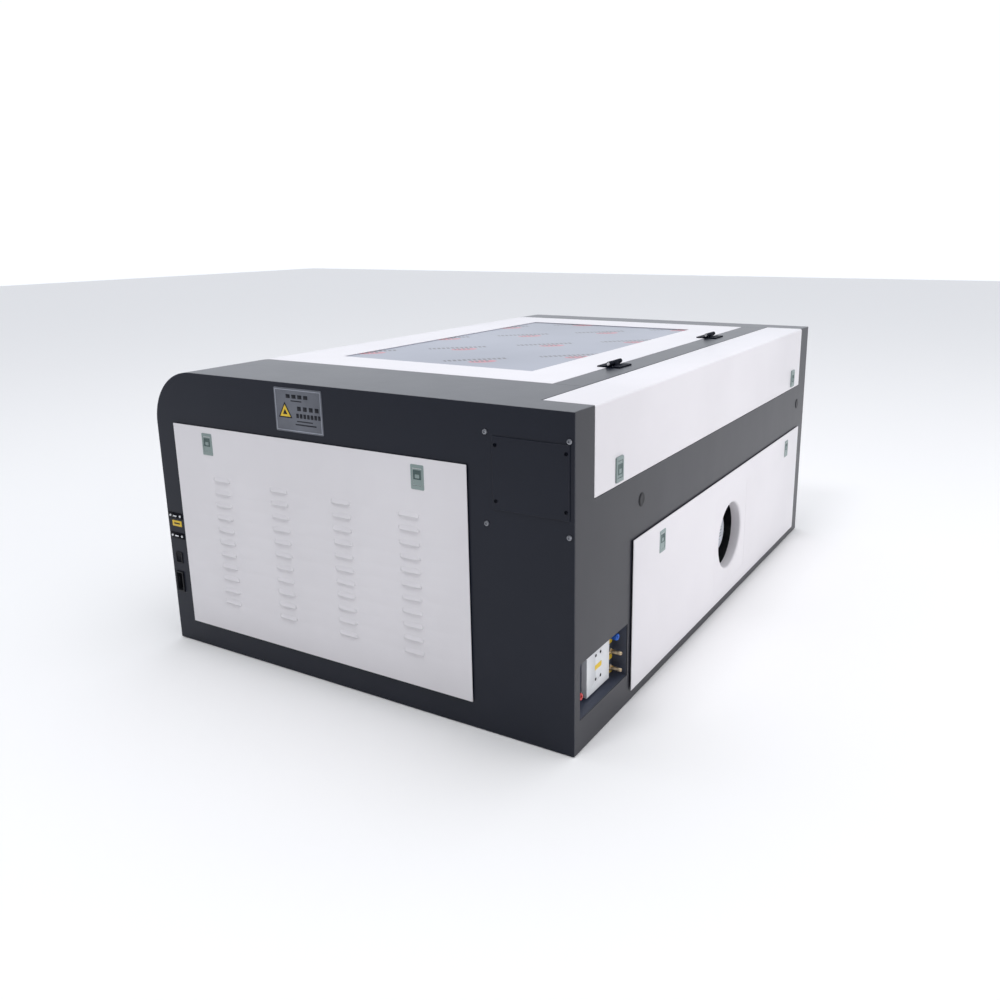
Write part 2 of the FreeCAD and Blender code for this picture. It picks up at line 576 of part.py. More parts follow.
def push_fitting(name, across, up):
    """A push-in air fitting with its blind bore."""
    tip = RECESS_BACK + " + push_length"
    solid = rod("Y", (across, up), (RECESS_BACK, tip), "push_radius")
    mouth = rod("Y", (across, up), (tip + " - air_depth", tip + " + 1"), "air_bore")
    return node(name, cut(solid, mouth))


push_fitting("air_fitting_blue", "barb_x", "blue_z")
push_fitting("air_fitting_red", "red_x", "red_z")
node("earth_terminal", joined(
    rod("Y", ("earth_x", "earth_z"), (RECESS_BACK, RECESS_BACK + " + earth_knob"), "earth_radius"),
    rod("Y", ("earth_x", "earth_z"), (RECESS_BACK, RECESS_BACK + " + earth_post"), "post_radius")))

# ---------------------------------------------------------------- right side fittings

OUT = RIGHT
node("access_plate", slab((OUT, OUT + " + skin"), about("access_y", "access_long"),
                          about("access_z", "access_tall")))


def side_screw(along, up, face, radius, head):
    """A screw's head on a face that looks to the right."""
    return rod("X", (along, up), (face, "%s + %s" % (face, head)), radius)


steel_screws = []
for along in ("- screw_square/2", "+ screw_square/2"):
    for up in ("- screw_square/2", "+ screw_square/2"):
        steel_screws.append(
            side_screw("screw_y " + along, "screw_z " + up, OUT, "screw_radius", "screw_head"))
group("steel_screws", *steel_screws)
black_screws = []
for along in ("- access_long/2 + black_inset", "+ access_long/2 - black_inset"):
    for up in ("- access_tall/2 + black_drop", "+ access_tall/2 - black_drop"):
        black_screws.append(side_screw("access_y " + along, "access_z " + up, OUT + " + skin",
                                       "black_radius", "black_head"))
group("black_screws", *black_screws)
node("data_plate", slab((OUT, OUT + " + plate_thick"), about("plate_y", "plate_long"),
                        about("plate_z", "plate_tall")))

ports = []
for up in ("port_high", "port_low"):
    shell = slab((OUT, OUT + " + port_thick"), about("port_y", "port_long"), about(up, "port_tall"))
    tongue = slab((OUT + " + 1", OUT + " + port_thick + 1"), about("port_y", "port_long - tongue_short"),
                  about(up, "port_tall - tongue_low"))
    ports.append(joined(shell, tongue))
group("data_ports", *ports)

inlet_body = slab((OUT + " - inlet_deep", OUT + " + inlet_wall"), about("inlet_y", "inlet_long"),
                  about("inlet_z", "inlet_tall"))
inlet_cavity = slab((OUT + " - inlet_deep + inlet_wall", OUT + " + inlet_wall + 1"),
                    about("inlet_y", "inlet_long - 2*inlet_wall"),
                    about("inlet_z", "inlet_tall - 2*inlet_wall"))
node("power_inlet", cut(inlet_body, inlet_cavity))
node("rocker_switch", slab((OUT + " - rocker_deep", OUT + " + rocker_proud"),
                           about("rocker_y", "rocker_long"), about("rocker_z", "rocker_tall")))

# ---------------------------------------------------------------- laser tube and beam

tube_profile = [("tube_left", "0"), ("tube_right", "0"), ("tube_right", "neck_radius"),
                ("tube_right - neck_length", "neck_radius"), ("tube_right - neck_length", "tube_radius"),
                ("tube_left + neck_length", "tube_radius"), ("tube_left + neck_length", "neck_radius"),
                ("tube_left", "neck_radius")]
node("laser_tube", turned("XY_Plane", tube_profile, "H_Axis", ("0", "tube_y", "tube_z")))

clamps = []
for middle in ("(tube_left + neck_length + clamp_inset)", "(tube_right - neck_length - clamp_inset)"):
    block = slab(about(middle, "clamp_width"), about("tube_y", "2*tube_radius + clamp_lap"),
                 ("tray_z + skin", "tube_z"))
    saddle = rod("X", ("tube_y", "tube_z"), about(middle, "clamp_width + 2"), "tube_radius + clamp_gap")
    clamps.append(cut(block, saddle))
group("tube_clamps", *clamps)
node("fixed_mirror", joined(
    slab(about("mirror_x", "mirror_side"), about("tube_y", "mirror_side"),
         ("tray_z + skin", "tube_z + mirror_lift")),
    rod("X", ("tube_y", "tube_z"), ("mirror_x", "mirror_x + mirror_side/2 + mirror_proud"),
        "mirror_radius")))

# ---------------------------------------------------------------- motion system

rails = []
for x in ((CHAMBER_LEFT, CHAMBER_LEFT + " + rail_width"), (CHAMBER_RIGHT + " - rail_width", CHAMBER_RIGHT)):
    rails.append(slab(x, (INNER_FRONT + " + rail_front", BAY_FRONT + " - rail_rear"),
                      ("rail_z", "rail_z + rail_tall")))
group("y_rails", *rails)
RIDE = "(rail_z + rail_tall + slide_gap)"
BEAM_Z = (RIDE + " + carriage_tall", RIDE + " + carriage_tall + beam_tall")
beam = [slab((CHAMBER_LEFT + " + beam_inset", CHAMBER_RIGHT + " - beam_inset"),
             about("beam_y", "beam_deep"), BEAM_Z)]
for x in ((CHAMBER_LEFT + " + carriage_inset", CHAMBER_LEFT + " + rail_width + carriage_lap"),
          (CHAMBER_RIGHT + " - rail_width - carriage_lap", CHAMBER_RIGHT + " - carriage_inset")):
    beam.append(slab(x, about("beam_y", "carriage_long"), (RIDE, RIDE + " + carriage_tall")))
node("gantry_beam", joined(*beam))

HEAD_Y = ("beam_y - beam_deep/2 - slide_gap - head_deep", "beam_y - beam_deep/2 - slide_gap")
LENS_Y = "(beam_y - beam_deep/2 - slide_gap - head_deep/2)"
head_block = slab(about("head_x", "head_width"), HEAD_Y, ("head_bottom", "head_top"))
head_bore = rod("Z", ("head_x", LENS_Y), ("head_bottom - 1", "lens_top + lens_stop"),
                "lens_radius + lens_clear")
node("laser_head", cut(head_block, head_bore))
lens_profile = [("0", "lens_bottom"), ("nozzle_radius", "lens_bottom"),
                ("lens_radius", "lens_bottom + nozzle_length"), ("lens_radius", "lens_top"),
                ("0", "lens_top")]
node("lens_tube", turned("XZ_Plane", lens_profile, "V_Axis", ("head_x", LENS_Y, "0")))

BED_X, BED_Y = about("bed_x", "bed_width"), about("bed_y", "bed_depth")
BED_BOTTOM = "(bed_top - bed_thick)"
bed_hollow = slab(grown(BED_X[0], BED_X[1], "-bed_rim"), grown(BED_Y[0], BED_Y[1], "-bed_rim"),
                  (BED_BOTTOM + " - 1", "bed_top - bed_core"))
node("honeycomb_bed", cut(slab(BED_X, BED_Y, (BED_BOTTOM, "bed_top")), bed_hollow))
TABLE_X = grown(BED_X[0], BED_X[1], "table_side")
TABLE_Y = grown(BED_Y[0], BED_Y[1], "table_overhang")
TABLE_Z = ("bed_top - bed_thick - table_tall", BED_BOTTOM)
table_plate = slab(TABLE_X, TABLE_Y, TABLE_Z)
table_window = slab(grown(BED_X[0], BED_X[1], "-table_bar"), grown(BED_Y[0], BED_Y[1], "-table_bar"),
                    (TABLE_Z[0] + " - 1", TABLE_Z[1] + " + 1"))
posts = []
post_holes = []
for across in ("bed_x - bed_width/2 + post_inset", "bed_x + bed_width/2 - post_inset"):
    for along in ("bed_y - bed_depth/2 - table_overhang/2", "bed_y + bed_depth/2 + table_overhang/2"):
        posts.append(rod("Z", (across, along), (FLOOR, "post_top"), "screw_post"))
        post_holes.append(rod("Z", (across, along), (TABLE_Z[0] + " - 1", TABLE_Z[1] + " + 1"),
                              "screw_post + screw_post_gap"))
group("lift_screws", *posts)
node("work_table", cut(table_plate, table_window, *post_holes))

# ---------------------------------------------------------------- electronics bay

BAY_LEFT = CHAMBER_RIGHT + " + skin"
supply_x = (BAY_LEFT + " + supply_gap", BAY_LEFT + " + supply_gap + supply_wide")
supply_y = about("supply_y", "supply_long")
supply_top = FLOOR + " + supply_tall"
supply_hollow = slab(grown(supply_x[0], supply_x[1], "-skin"), grown(supply_y[0], supply_y[1], "-skin"),
                     (FLOOR + " - 1", supply_top + " - skin"))
node("laser_power_supply", cut(slab(supply_x, supply_y, (FLOOR, supply_top)), supply_hollow))

controller_y = about("controller_y", "controller_long")
controller_z = about("controller_z", "controller_tall")
controller_box = slab((BAY_LEFT, BAY_LEFT + " + controller_deep"), controller_y, controller_z)
controller_hollow = slab((BAY_LEFT + " - 1", BAY_LEFT + " + controller_deep - skin"),
                         grown(controller_y[0], controller_y[1], "-skin"),
                         grown(controller_z[0], controller_z[1], "-skin"))
node("motion_controller", cut(controller_box, controller_hollow))

MOTOR_Z = "(rail_z - motor_drop)"
MOTOR_END = BAY_LEFT + " + motor_long"
motor = slab((BAY_LEFT, MOTOR_END), about("motor_y", "motor_side"), about(MOTOR_Z, "motor_side"))
shaft = rod("X", ("motor_y", MOTOR_Z), (MOTOR_END, MOTOR_END + " + shaft_long"), "shaft_radius")
node("y_motor", joined(motor, shaft))

# ---------------------------------------------------------------- control panel

control_y = (FRONT + " - control_thick", FRONT)
STOP_X, KEY_X = "(%s + stop_shift)" % CONTROL_X, "(%s - stop_shift)" % CONTROL_X
KNOB_Z = "(control_z - knob_drop)"
control_plate = slab(about(CONTROL_X, "control_width"), control_y,
                     about("control_z", "control_tall"))
knob_holes = [rod("Y", (STOP_X, KNOB_Z), (control_y[0] + " - 1", FRONT + " + 1"), "stem_radius + stem_gap"),
              rod("Y", (KEY_X, KNOB_Z), (control_y[0] + " - 1", FRONT + " + 1"), "key_radius + stem_gap")]
node("control_panel", cut(control_plate, *knob_holes))
node("screen", slab(about(CONTROL_X, "screen_width"), (control_y[0] + " - screen_thick", control_y[0]),
                    about("control_z + screen_lift", "screen_tall")))
FACE = control_y[0]
node("emergency_stop", joined(
    rod("Y", (STOP_X, KNOB_Z), (FACE + " - stop_proud", FACE + " - stop_proud + stop_head"),
        "stop_radius"),
    rod("Y", (STOP_X, KNOB_Z), (FACE + " - stop_proud", FRONT + " + stem_deep"), "stem_radius")))
node("key_switch", joined(
    rod("Y", (KEY_X, KNOB_Z), (FACE + " - key_proud", FRONT + " + stem_deep"), "key_radius"),
    slab(about(KEY_X, "key_thick"), (FACE + " - key_reach", FACE + " - key_foot"),
         about(KNOB_Z, "key_wide"))))

# ---------------------------------------------------------------- front door

door_y = (FRONT + " - panel_thick", FRONT)
node("front_door", joined(slab(DOOR_X, door_y, ("door_bottom", "door_top")),
                          slab(about("bed_x", "pull_width"), (door_y[0] + " - pull_reach", FRONT),
                               ("door_top - pull_drop", "door_top - pull_drop + pull_thick"))))

# ---------------------------------------------------------------- lid and its hinges

lid_x = (LID_LEFT + " + seam", LID_RIGHT + " - seam")
lid_top = slab(lid_x, (BEND_Y, LID_REAR), (UNDER_TOP, "height"))
lid_bend = cut(rod("X", (BEND_Y, BEND_Z), lid_x, "corner_radius", 90),
               rod("X", (BEND_Y, BEND_Z), (lid_x[0] + " - 1", lid_x[1] + " + 1"), INNER_BEND, 90))
lid_skirt = slab(lid_x, (FRONT, INNER_FRONT), ("skirt_bottom", BEND_Z))
lid_parts = [lid_top, lid_bend, lid_skirt,
             slab(lid_x, (LID_REAR + " - skin", LID_REAR), (UNDER_TOP + " - lip_depth", UNDER_TOP))]
for low in (lid_x[0], lid_x[1] + " - skin"):
    x = (low, low + " + skin")
    lid_parts.append(slab(x, (BEND_Y, LID_REAR), (UNDER_TOP + " - lip_depth", UNDER_TOP)))
    inside = (x[0] + " - 1", x[1] + " + 1")
    lid_parts.append(cut(rod("X", (BEND_Y, BEND_Z), x, "corner_radius - skin/2", 90),
                         rod("X", (BEND_Y, BEND_Z), inside, INNER_BEND + " - lip_depth", 90)))
    lid_parts.append(slab(x, (INNER_FRONT, INNER_FRONT + " + lip_depth"), ("skirt_bottom", BEND_Z)))
WINDOW_X = (lid_x[0] + " + window_left - seam", lid_x[1] + " - window_right + seam")
WINDOW_Y = (BEND_Y + " + window_front", LID_REAR + " - window_rear")
window_hole = slab(WINDOW_X, WINDOW_Y, (UNDER_TOP + " - 1", "height + 1"))
node("lid_frame", cut(joined(*lid_parts), window_hole))
node("lid_window", slab(grown(WINDOW_X[0], WINDOW_X[1], "window_lap"),
                        grown(WINDOW_Y[0], WINDOW_Y[1], "window_lap"),
                        (UNDER_TOP + " - window_thick", UNDER_TOP)))
HANDLE_Z = "(skirt_bottom + handle_lift)"
HANDLE_FRONT = FRONT + " - handle_reach"
handle = [slab(about("bed_x", "handle_length"), (HANDLE_FRONT, HANDLE_FRONT + " + handle_bar"),
               about(HANDLE_Z, "handle_bar"))]
for side in ("- handle_length/2 + handle_bar/2", "+ handle_length/2 - handle_bar/2"):
    handle.append(slab(about("(bed_x %s)" % side, "handle_bar"), (HANDLE_FRONT, FRONT),
                       about(HANDLE_Z, "handle_bar")))
node("lid_handle", joined(*handle))

LEAF_Z = ("height", "height + leaf_thick")
deck_leaves = []
lid_leaves = []
for middle in ("hinge_right", "(-hinge_left)"):
    barrel_bore = rod("X", (HINGE_Y, HINGE_Z), about(middle, "leaf_width + 2"), "pin_radius + spindle_clear")
    knuckle = rod("X", (HINGE_Y, HINGE_Z), about(middle, "leaf_width/3"), "barrel_radius")
    web = slab(about(middle, "leaf_width/3"), (HINGE_Y, HINGE_Y + " + barrel_radius + 1"),
               ("height", HINGE_Z))
    leaf = slab(about(middle, "leaf_width"),
                (HINGE_Y + " + barrel_radius + 1", HINGE_Y + " + barrel_radius + leaf_depth"), LEAF_Z)
    deck_leaves.append(cut(joined(knuckle, web, leaf), barrel_bore))
    lid_solid = [slab(about(middle, "leaf_width"),
                      (HINGE_Y + " - barrel_radius - leaf_depth", HINGE_Y + " - barrel_radius - 1"), LEAF_Z),
                 rod("X", (HINGE_Y, HINGE_Z), about(middle, "leaf_width"), "pin_radius")]
    for side in ("- leaf_width/3 - 0.25", "+ leaf_width/3 + 0.25"):
        spot = about("(%s %s)" % (middle, side), "leaf_width/3 - 0.5")
        lid_solid.append(rod("X", (HINGE_Y, HINGE_Z), spot, "barrel_radius"))
        lid_solid.append(slab(spot, (HINGE_Y + " - barrel_radius - 1", HINGE_Y), (LEAF_Z[0], HINGE_Z)))
    lid_leaves.append(joined(*lid_solid))
group("hinge_deck_leaves", *deck_leaves)
group("hinge_lid_leaves", *lid_leaves)

# ---------------------------------------------------------------- check and write

doc.recompute()
for item in doc.Objects:
    if "Invalid" in item.State or "Error" in item.State:
        raise RuntimeError("%s (%s) failed: %s" % (item.Name, item.Label, item.State))
for item in NODES:
    if item.Shape.isNull() or not item.Shape.isValid() or not item.Shape.Solids:
        raise RuntimeError("%s has no sound shape" % item.Label)
for item in NODES:
    item.Shape.exportStep("parts/%s.step" % item.Label)
print("%d sub-parts written" % len(NODES))
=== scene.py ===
import json
import logging
import math
from dataclasses import dataclass
from enum import Enum

import bmesh
import bpy
import numpy as np
from mathutils import Matrix, Vector

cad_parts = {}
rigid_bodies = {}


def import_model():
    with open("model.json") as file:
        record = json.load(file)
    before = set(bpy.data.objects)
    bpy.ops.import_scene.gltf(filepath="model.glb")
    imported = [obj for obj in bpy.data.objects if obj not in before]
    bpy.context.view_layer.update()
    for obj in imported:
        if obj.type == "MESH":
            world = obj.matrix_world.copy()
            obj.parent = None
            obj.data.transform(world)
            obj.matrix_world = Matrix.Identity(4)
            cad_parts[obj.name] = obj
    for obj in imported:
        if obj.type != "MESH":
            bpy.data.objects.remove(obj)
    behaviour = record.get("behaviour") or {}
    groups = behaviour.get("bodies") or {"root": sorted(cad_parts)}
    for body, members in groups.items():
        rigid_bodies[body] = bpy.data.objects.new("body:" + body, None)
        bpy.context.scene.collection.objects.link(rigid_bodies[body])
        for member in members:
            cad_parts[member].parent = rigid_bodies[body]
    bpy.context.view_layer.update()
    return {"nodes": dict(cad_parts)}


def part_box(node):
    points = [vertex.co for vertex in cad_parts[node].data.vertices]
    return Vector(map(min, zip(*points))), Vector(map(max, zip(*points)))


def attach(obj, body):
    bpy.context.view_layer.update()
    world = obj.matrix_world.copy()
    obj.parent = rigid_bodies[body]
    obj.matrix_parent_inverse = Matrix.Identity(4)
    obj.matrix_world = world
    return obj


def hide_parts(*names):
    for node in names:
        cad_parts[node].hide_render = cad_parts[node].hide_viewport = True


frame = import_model()
LOG = logging.getLogger("laser_engraver")

Colour = tuple[float, float, float]
Profile = tuple[tuple[float, float], ...]
MM = 0.001


def steps(*pairs: tuple[float, float]) -> Profile:
    """Pairs given in millimetres, in metres."""
    return tuple((first * MM, second * MM) for first, second in pairs)


def straighten(value: float) -> float:
    """Undoes the screen's curve for one channel.

    Args:
        value: the channel, 0 to 255.

    Returns:
        The linear value, 0 to 1.
    """
    value /= 255.0
    return value / 12.92 if value <= 0.04045 else ((value + 0.055) / 1.055) ** 2.4


def paint(red: int, green: int, blue: int) -> Colour:
    """Linear colour of a screen colour given as 0 to 255.

    Args:
        red, green, blue: the screen colour.

    Returns:
        The colour as a shader takes it.
    """
    return straighten(red), straighten(green), straighten(blue)


# ---------------------------------------------------------------- shader maths


class Graph:
    """The nodes of one material, with a Principled shader at its end."""

    def __init__(self, name: str) -> None:
        """Makes an empty material called name."""
        self.material = bpy.data.materials.new(name)
        self.material.use_nodes = True
        self.tree = self.material.node_tree
        self.tree.nodes.clear()
        self.shader = self.add("ShaderNodeBsdfPrincipled")
        self.add("ShaderNodeOutputMaterial", inputs={"Surface": self.shader.outputs[0]})

    def add(self, kind: str, settings: dict | None = None, inputs: dict | None = None) -> bpy.types.Node:
        """Adds a node.

        Args:
            kind: the node's type.
            settings: its properties, set first. A ramp's stops are given as "stops".
            inputs: values or links by socket name or number.

        Returns:
            The node.
        """
        node = self.tree.nodes.new(kind)
        for key, value in (settings or {}).items():
            if key == "stops":
                ramp = node.color_ramp.elements
                while len(ramp) < len(value):
                    ramp.new(0.5)
                for stop, (place, colour) in zip(ramp, value):
                    stop.position, stop.color = place, (*colour, 1.0)
            else:
                setattr(node, key, value)
        for key, value in (inputs or {}).items():
            self.feed(node.inputs[key], value)
        return node

    def feed(self, socket: bpy.types.NodeSocket, value: object) -> None:
        """Links a socket, or sets its constant."""
        if isinstance(value, Value):
            value = value.socket
        if isinstance(value, bpy.types.NodeSocket):
            self.tree.links.new(value, socket)
        elif isinstance(value, tuple) and len(value) == 3 and socket.type == "RGBA":
            socket.default_value = (*value, 1.0)
        else:
            socket.default_value = value

    def here(self) -> "bpy.types.NodeSocket":
        """The Object coordinates."""
        return self.add("ShaderNodeTexCoord").outputs["Object"]

    def axes(self) -> tuple["Value", "Value", "Value"]:
        """The Object coordinates as three values."""
        split = self.add("ShaderNodeSeparateXYZ", inputs={0: self.here()})
        return Value(self, split.outputs[0]), Value(self, split.outputs[1]), Value(self, split.outputs[2])

    def noise(self, scale: float, detail: float = 3.0, stretch: Colour = (1, 1, 1),
              rough: float = 0.5) -> "Value":
        """Noise on the Object coordinates.

        Args:
            scale: waves to the metre.
            detail: octaves.
            stretch: how much finer it is along each axis.
            rough: how strong the fine octaves are.

        Returns:
            The noise, about 0 to 1.
        """
        spot = self.add("ShaderNodeVectorMath", {"operation": "MULTIPLY"}, {0: self.here(), 1: stretch})
        noise = self.add("ShaderNodeTexNoise", {"noise_dimensions": "3D"},
                         {"Vector": spot.outputs[0], "Scale": scale, "Detail": detail, "Roughness": rough})
        return Value(self, noise.outputs[0])

    def mix(self, amount: object, first: object, second: object) -> bpy.types.NodeSocket:
        """A colour between two colours."""
        node = self.add("ShaderNodeMix", {"data_type": "RGBA"}, {0: amount, 6: first, 7: second})
        return node.outputs[2]

    def bump(self, height: "Value", strength: float, distance: float) -> bpy.types.NodeSocket:
        """A normal tilted by a height, in metres at distance."""
        inputs = {"Height": height, "Strength": strength, "Distance": distance}
        return self.add("ShaderNodeBump", inputs=inputs).outputs[0]

    def set(self, **sockets: object) -> None:
        """Feeds the Principled shader. A socket's name has underscores for spaces."""
        for key, value in sockets.items():
            self.feed(self.shader.inputs[key.replace("_", " ")], value)


class Value:
    """A number that varies over the surface. Arithmetic on it adds Math nodes."""

    def __init__(self, graph: Graph, socket: bpy.types.NodeSocket) -> None:
        """Wraps a socket of a graph."""
        self.graph, self.socket = graph, socket

    def math(self, operation: str, *others: object, first: object = None) -> "Value":
        """One Math node on this value and others; first goes before it."""
        terms = [self, *others] if first is None else [first, self]
        node = self.graph.add("ShaderNodeMath", {"operation": operation}, dict(enumerate(terms)))
        return Value(self.graph, node.outputs[0])

    def __add__(self, other: object) -> "Value":
        """Sum."""
        return self.math("ADD", other)

    def __sub__(self, other: object) -> "Value":
        """Difference."""
        return self.math("SUBTRACT", other)

    def __rsub__(self, other: float) -> "Value":
        """A number less this value."""
        return self.math("SUBTRACT", first=other)

    def __mul__(self, other: object) -> "Value":
        """Product."""
        return self.math("MULTIPLY", other)

    def __truediv__(self, other: object) -> "Value":
        """Quotient."""
        return self.math("DIVIDE", other)

    def __abs__(self) -> "Value":
        """Size without sign."""
        return self.math("ABSOLUTE")

    def power(self, other: float) -> "Value":
        """This value to a power."""
        return self.math("POWER", other)

    def fract(self) -> "Value":
        """What is left after the whole number."""
        return self.math("FRACT")

    def low(self, other: object) -> "Value":
        """The smaller of two."""
        return self.math("MINIMUM", other)

    def between(self, start: float, end: float) -> "Value":
        """0 before start, 1 after end, smooth between. With start past end it falls."""
        node = self.graph.add("ShaderNodeMapRange", {"interpolation_type": "SMOOTHSTEP"},
                              {0: self, 1: min(start, end), 2: max(start, end)})
        rising = Value(self.graph, node.outputs[0])
        return rising if start < end else 1.0 - rising

    __radd__ = __add__
    __rmul__ = __mul__


# ---------------------------------------------------------------- finishes


@dataclass(frozen=True)
class PowderCoat:
    """Baked powder paint: fine orange peel, soft sheen, faint handling marks, and a lighter edge colour that is
    partly a little wear and partly a painted highlight on the edges.
    """

    name: str
    colour: Colour
    roughness: float = 0.42
    peel: float = 0.25
    shade: float = 0.06
    # edge: a colour lighter than the paint, taken at the edges: partly wear, partly a painted highlight.
    edge: Colour = (0.5, 0.52, 0.56)
    edge_wear_and_highlight: float = 0.25
    coat: float = 0.0
    sheen: float = 0.5
    mottle: float = 1.0

    def make(self) -> bpy.types.Material:
        """Builds the material."""
        graph = Graph(self.name)
        cloud = graph.noise(3.0, 4.0)
        smear = graph.noise(14.0, 6.0, (1.0, 1.0, 0.35), 0.65)
        darker = tuple(channel * (1.0 - self.shade * 2) for channel in self.colour)
        lighter = tuple(min(1.0, channel * (1.0 + self.shade)) for channel in self.colour)
        body = graph.mix(cloud.between(0.3, 0.7), darker, lighter)
        # Edges, found where the bevelled normal turns away from the true one, are mixed toward the lighter edge
        # colour: partly wear, partly a painted highlight.
        rounded = graph.add("ShaderNodeBevel", {"samples": 4}, {"Radius": 1.2 * MM})
        facing = graph.add("ShaderNodeNewGeometry").outputs["Normal"]
        turn = graph.add("ShaderNodeVectorMath", {"operation": "DOT_PRODUCT"}, {0: rounded.outputs[0], 1: facing})
        worn_and_highlit_edges = Value(graph, turn.outputs["Value"]).between(0.985, 0.80) * smear.between(0.35, 0.62) * self.edge_wear_and_highlight
        tiny = graph.noise(1400.0, 2.0)
        wavy = graph.noise(260.0, 2.0)
        graph.set(Base_Color=graph.mix(worn_and_highlit_edges, body, self.edge),
                  Roughness=(smear * 0.16 + cloud * 0.06 - 0.11) * self.mottle + self.roughness,
                  Normal=graph.bump(tiny * 0.35 + wavy, self.peel, 0.12 * MM),
                  Coat_Weight=self.coat, Coat_Roughness=0.12, Specular_IOR_Level=self.sheen)
        return graph.material


@dataclass(frozen=True)
class Metal:
    """Bare metal with brushing along one axis and slight tarnish."""

    name: str
    colour: Colour
    roughness: float = 0.3
    brushed: Colour = (1.0, 30.0, 30.0)
    grain: float = 0.12

    def make(self) -> bpy.types.Material:
        """Builds the material."""
        graph = Graph(self.name)
        lines = graph.noise(60.0, 4.0, self.brushed, 0.6)
        stain = graph.noise(18.0, 5.0)
        dull = tuple(channel * 0.72 for channel in self.colour)
        graph.set(Base_Color=graph.mix(stain.between(0.35, 0.75) * 0.6 + lines * 0.3, self.colour, dull),
                  Roughness=lines * 0.15 + stain * 0.15 + (self.roughness - 0.12), Metallic=1.0,
                  Normal=graph.bump(lines, self.grain, 0.15 * MM))
        return graph.material


@dataclass(frozen=True)
class Moulded:
    """Moulded plastic or rubber: fine spark texture and soft scuffs."""

    name: str
    colour: Colour
    roughness: float = 0.4
    texture: float = 0.2
    coat: float = 0.0
    sheen: float = 0.5

    def make(self) -> bpy.types.Material:
        """Builds the material."""
        graph = Graph(self.name)
        spark = graph.noise(1800.0, 2.0)
        scuff = graph.noise(35.0, 6.0, rough=0.7)
        light = tuple(min(1.0, channel * 1.25 + 0.01) for channel in self.colour)
        graph.set(Base_Color=graph.mix(scuff.between(0.42, 0.75), self.colour, light),
                  Roughness=scuff * 0.2 + (self.roughness - 0.1),
                  Normal=graph.bump(spark, self.texture, 0.1 * MM), Coat_Weight=self.coat, Coat_Roughness=0.08,
                  Specular_IOR_Level=self.sheen)
        return graph.material


@dataclass(frozen=True)
class Clear:
    """Thin clear glass."""

    name: str
    colour: Colour
    alpha: float = 0.3

    def make(self) -> bpy.types.Material:
        """Builds the material."""
        graph = Graph(self.name)
        streak = graph.noise(25.0, 4.0, (0.2, 1.0, 1.0))
        graph.set(Base_Color=graph.mix(streak, self.colour, (0.95, 0.98, 1.0)), Roughness=streak * 0.06 + 0.02,
                  Alpha=self.alpha, IOR=1.47)
        return graph.material


@dataclass(frozen=True)
class FilmedSheet:
    """Acrylic sheet still under its protective film, with faint generic printed marks on a slanted square grid."""

    name: str
    colour: Colour
    pitch: float = 0.206
    shift_along: float = 0.045
    shift_across: float = 0.020

    def make(self) -> bpy.types.Material:
        """Builds the material. Marks sit where two slanted coordinates are near whole pitches."""
        graph = Graph(self.name)
        x, y, _ = graph.axes()
        root = 1.0 / math.sqrt(2.0)
        along = ((y - x) * root - self.shift_along) / self.pitch + 0.5
        across = ((x + y) * root - self.shift_across) / self.pitch + 0.5
        u = (along.fract() - 0.5) * self.pitch
        v = (across.fract() - 0.5) * self.pitch
        oval = ((u / 0.030).power(2.0) + (v / 0.017).power(2.0)).between(1.2, 0.7)
        blot = graph.noise(150.0, 3.0)
        dashes = abs((u * 95.0).fract() - 0.5).between(0.12, 0.22)
        row = abs(v + 0.031).between(0.0130, 0.0095) * abs(u + 0.008).between(0.070, 0.064)
        emblem = abs(v + 0.004).between(0.0105, 0.0080) * abs(u + 0.002).between(0.022, 0.018) * dashes
        ink = row * dashes * blot.between(0.26, 0.40) + emblem * blot.between(0.26, 0.40)
        haze = graph.noise(2.2, 4.0)
        film = graph.mix(haze.between(0.3, 0.7), self.colour, tuple(c * 0.86 for c in self.colour))
        pink = graph.mix((oval * (blot * 0.7 + 0.62)).low(1.0), film, paint(186, 52, 80))
        marked = graph.mix(ink.low(1.0), pink, paint(22, 26, 46))
        ripple = graph.noise(9.0, 3.0, (1.0, 2.2, 1.0))
        graph.set(Base_Color=marked, Roughness=haze * 0.12 + 0.26,
                  Normal=graph.bump(ripple, 0.12, 2.0 * MM), Coat_Weight=0.25, Coat_Roughness=0.15)
        return graph.material


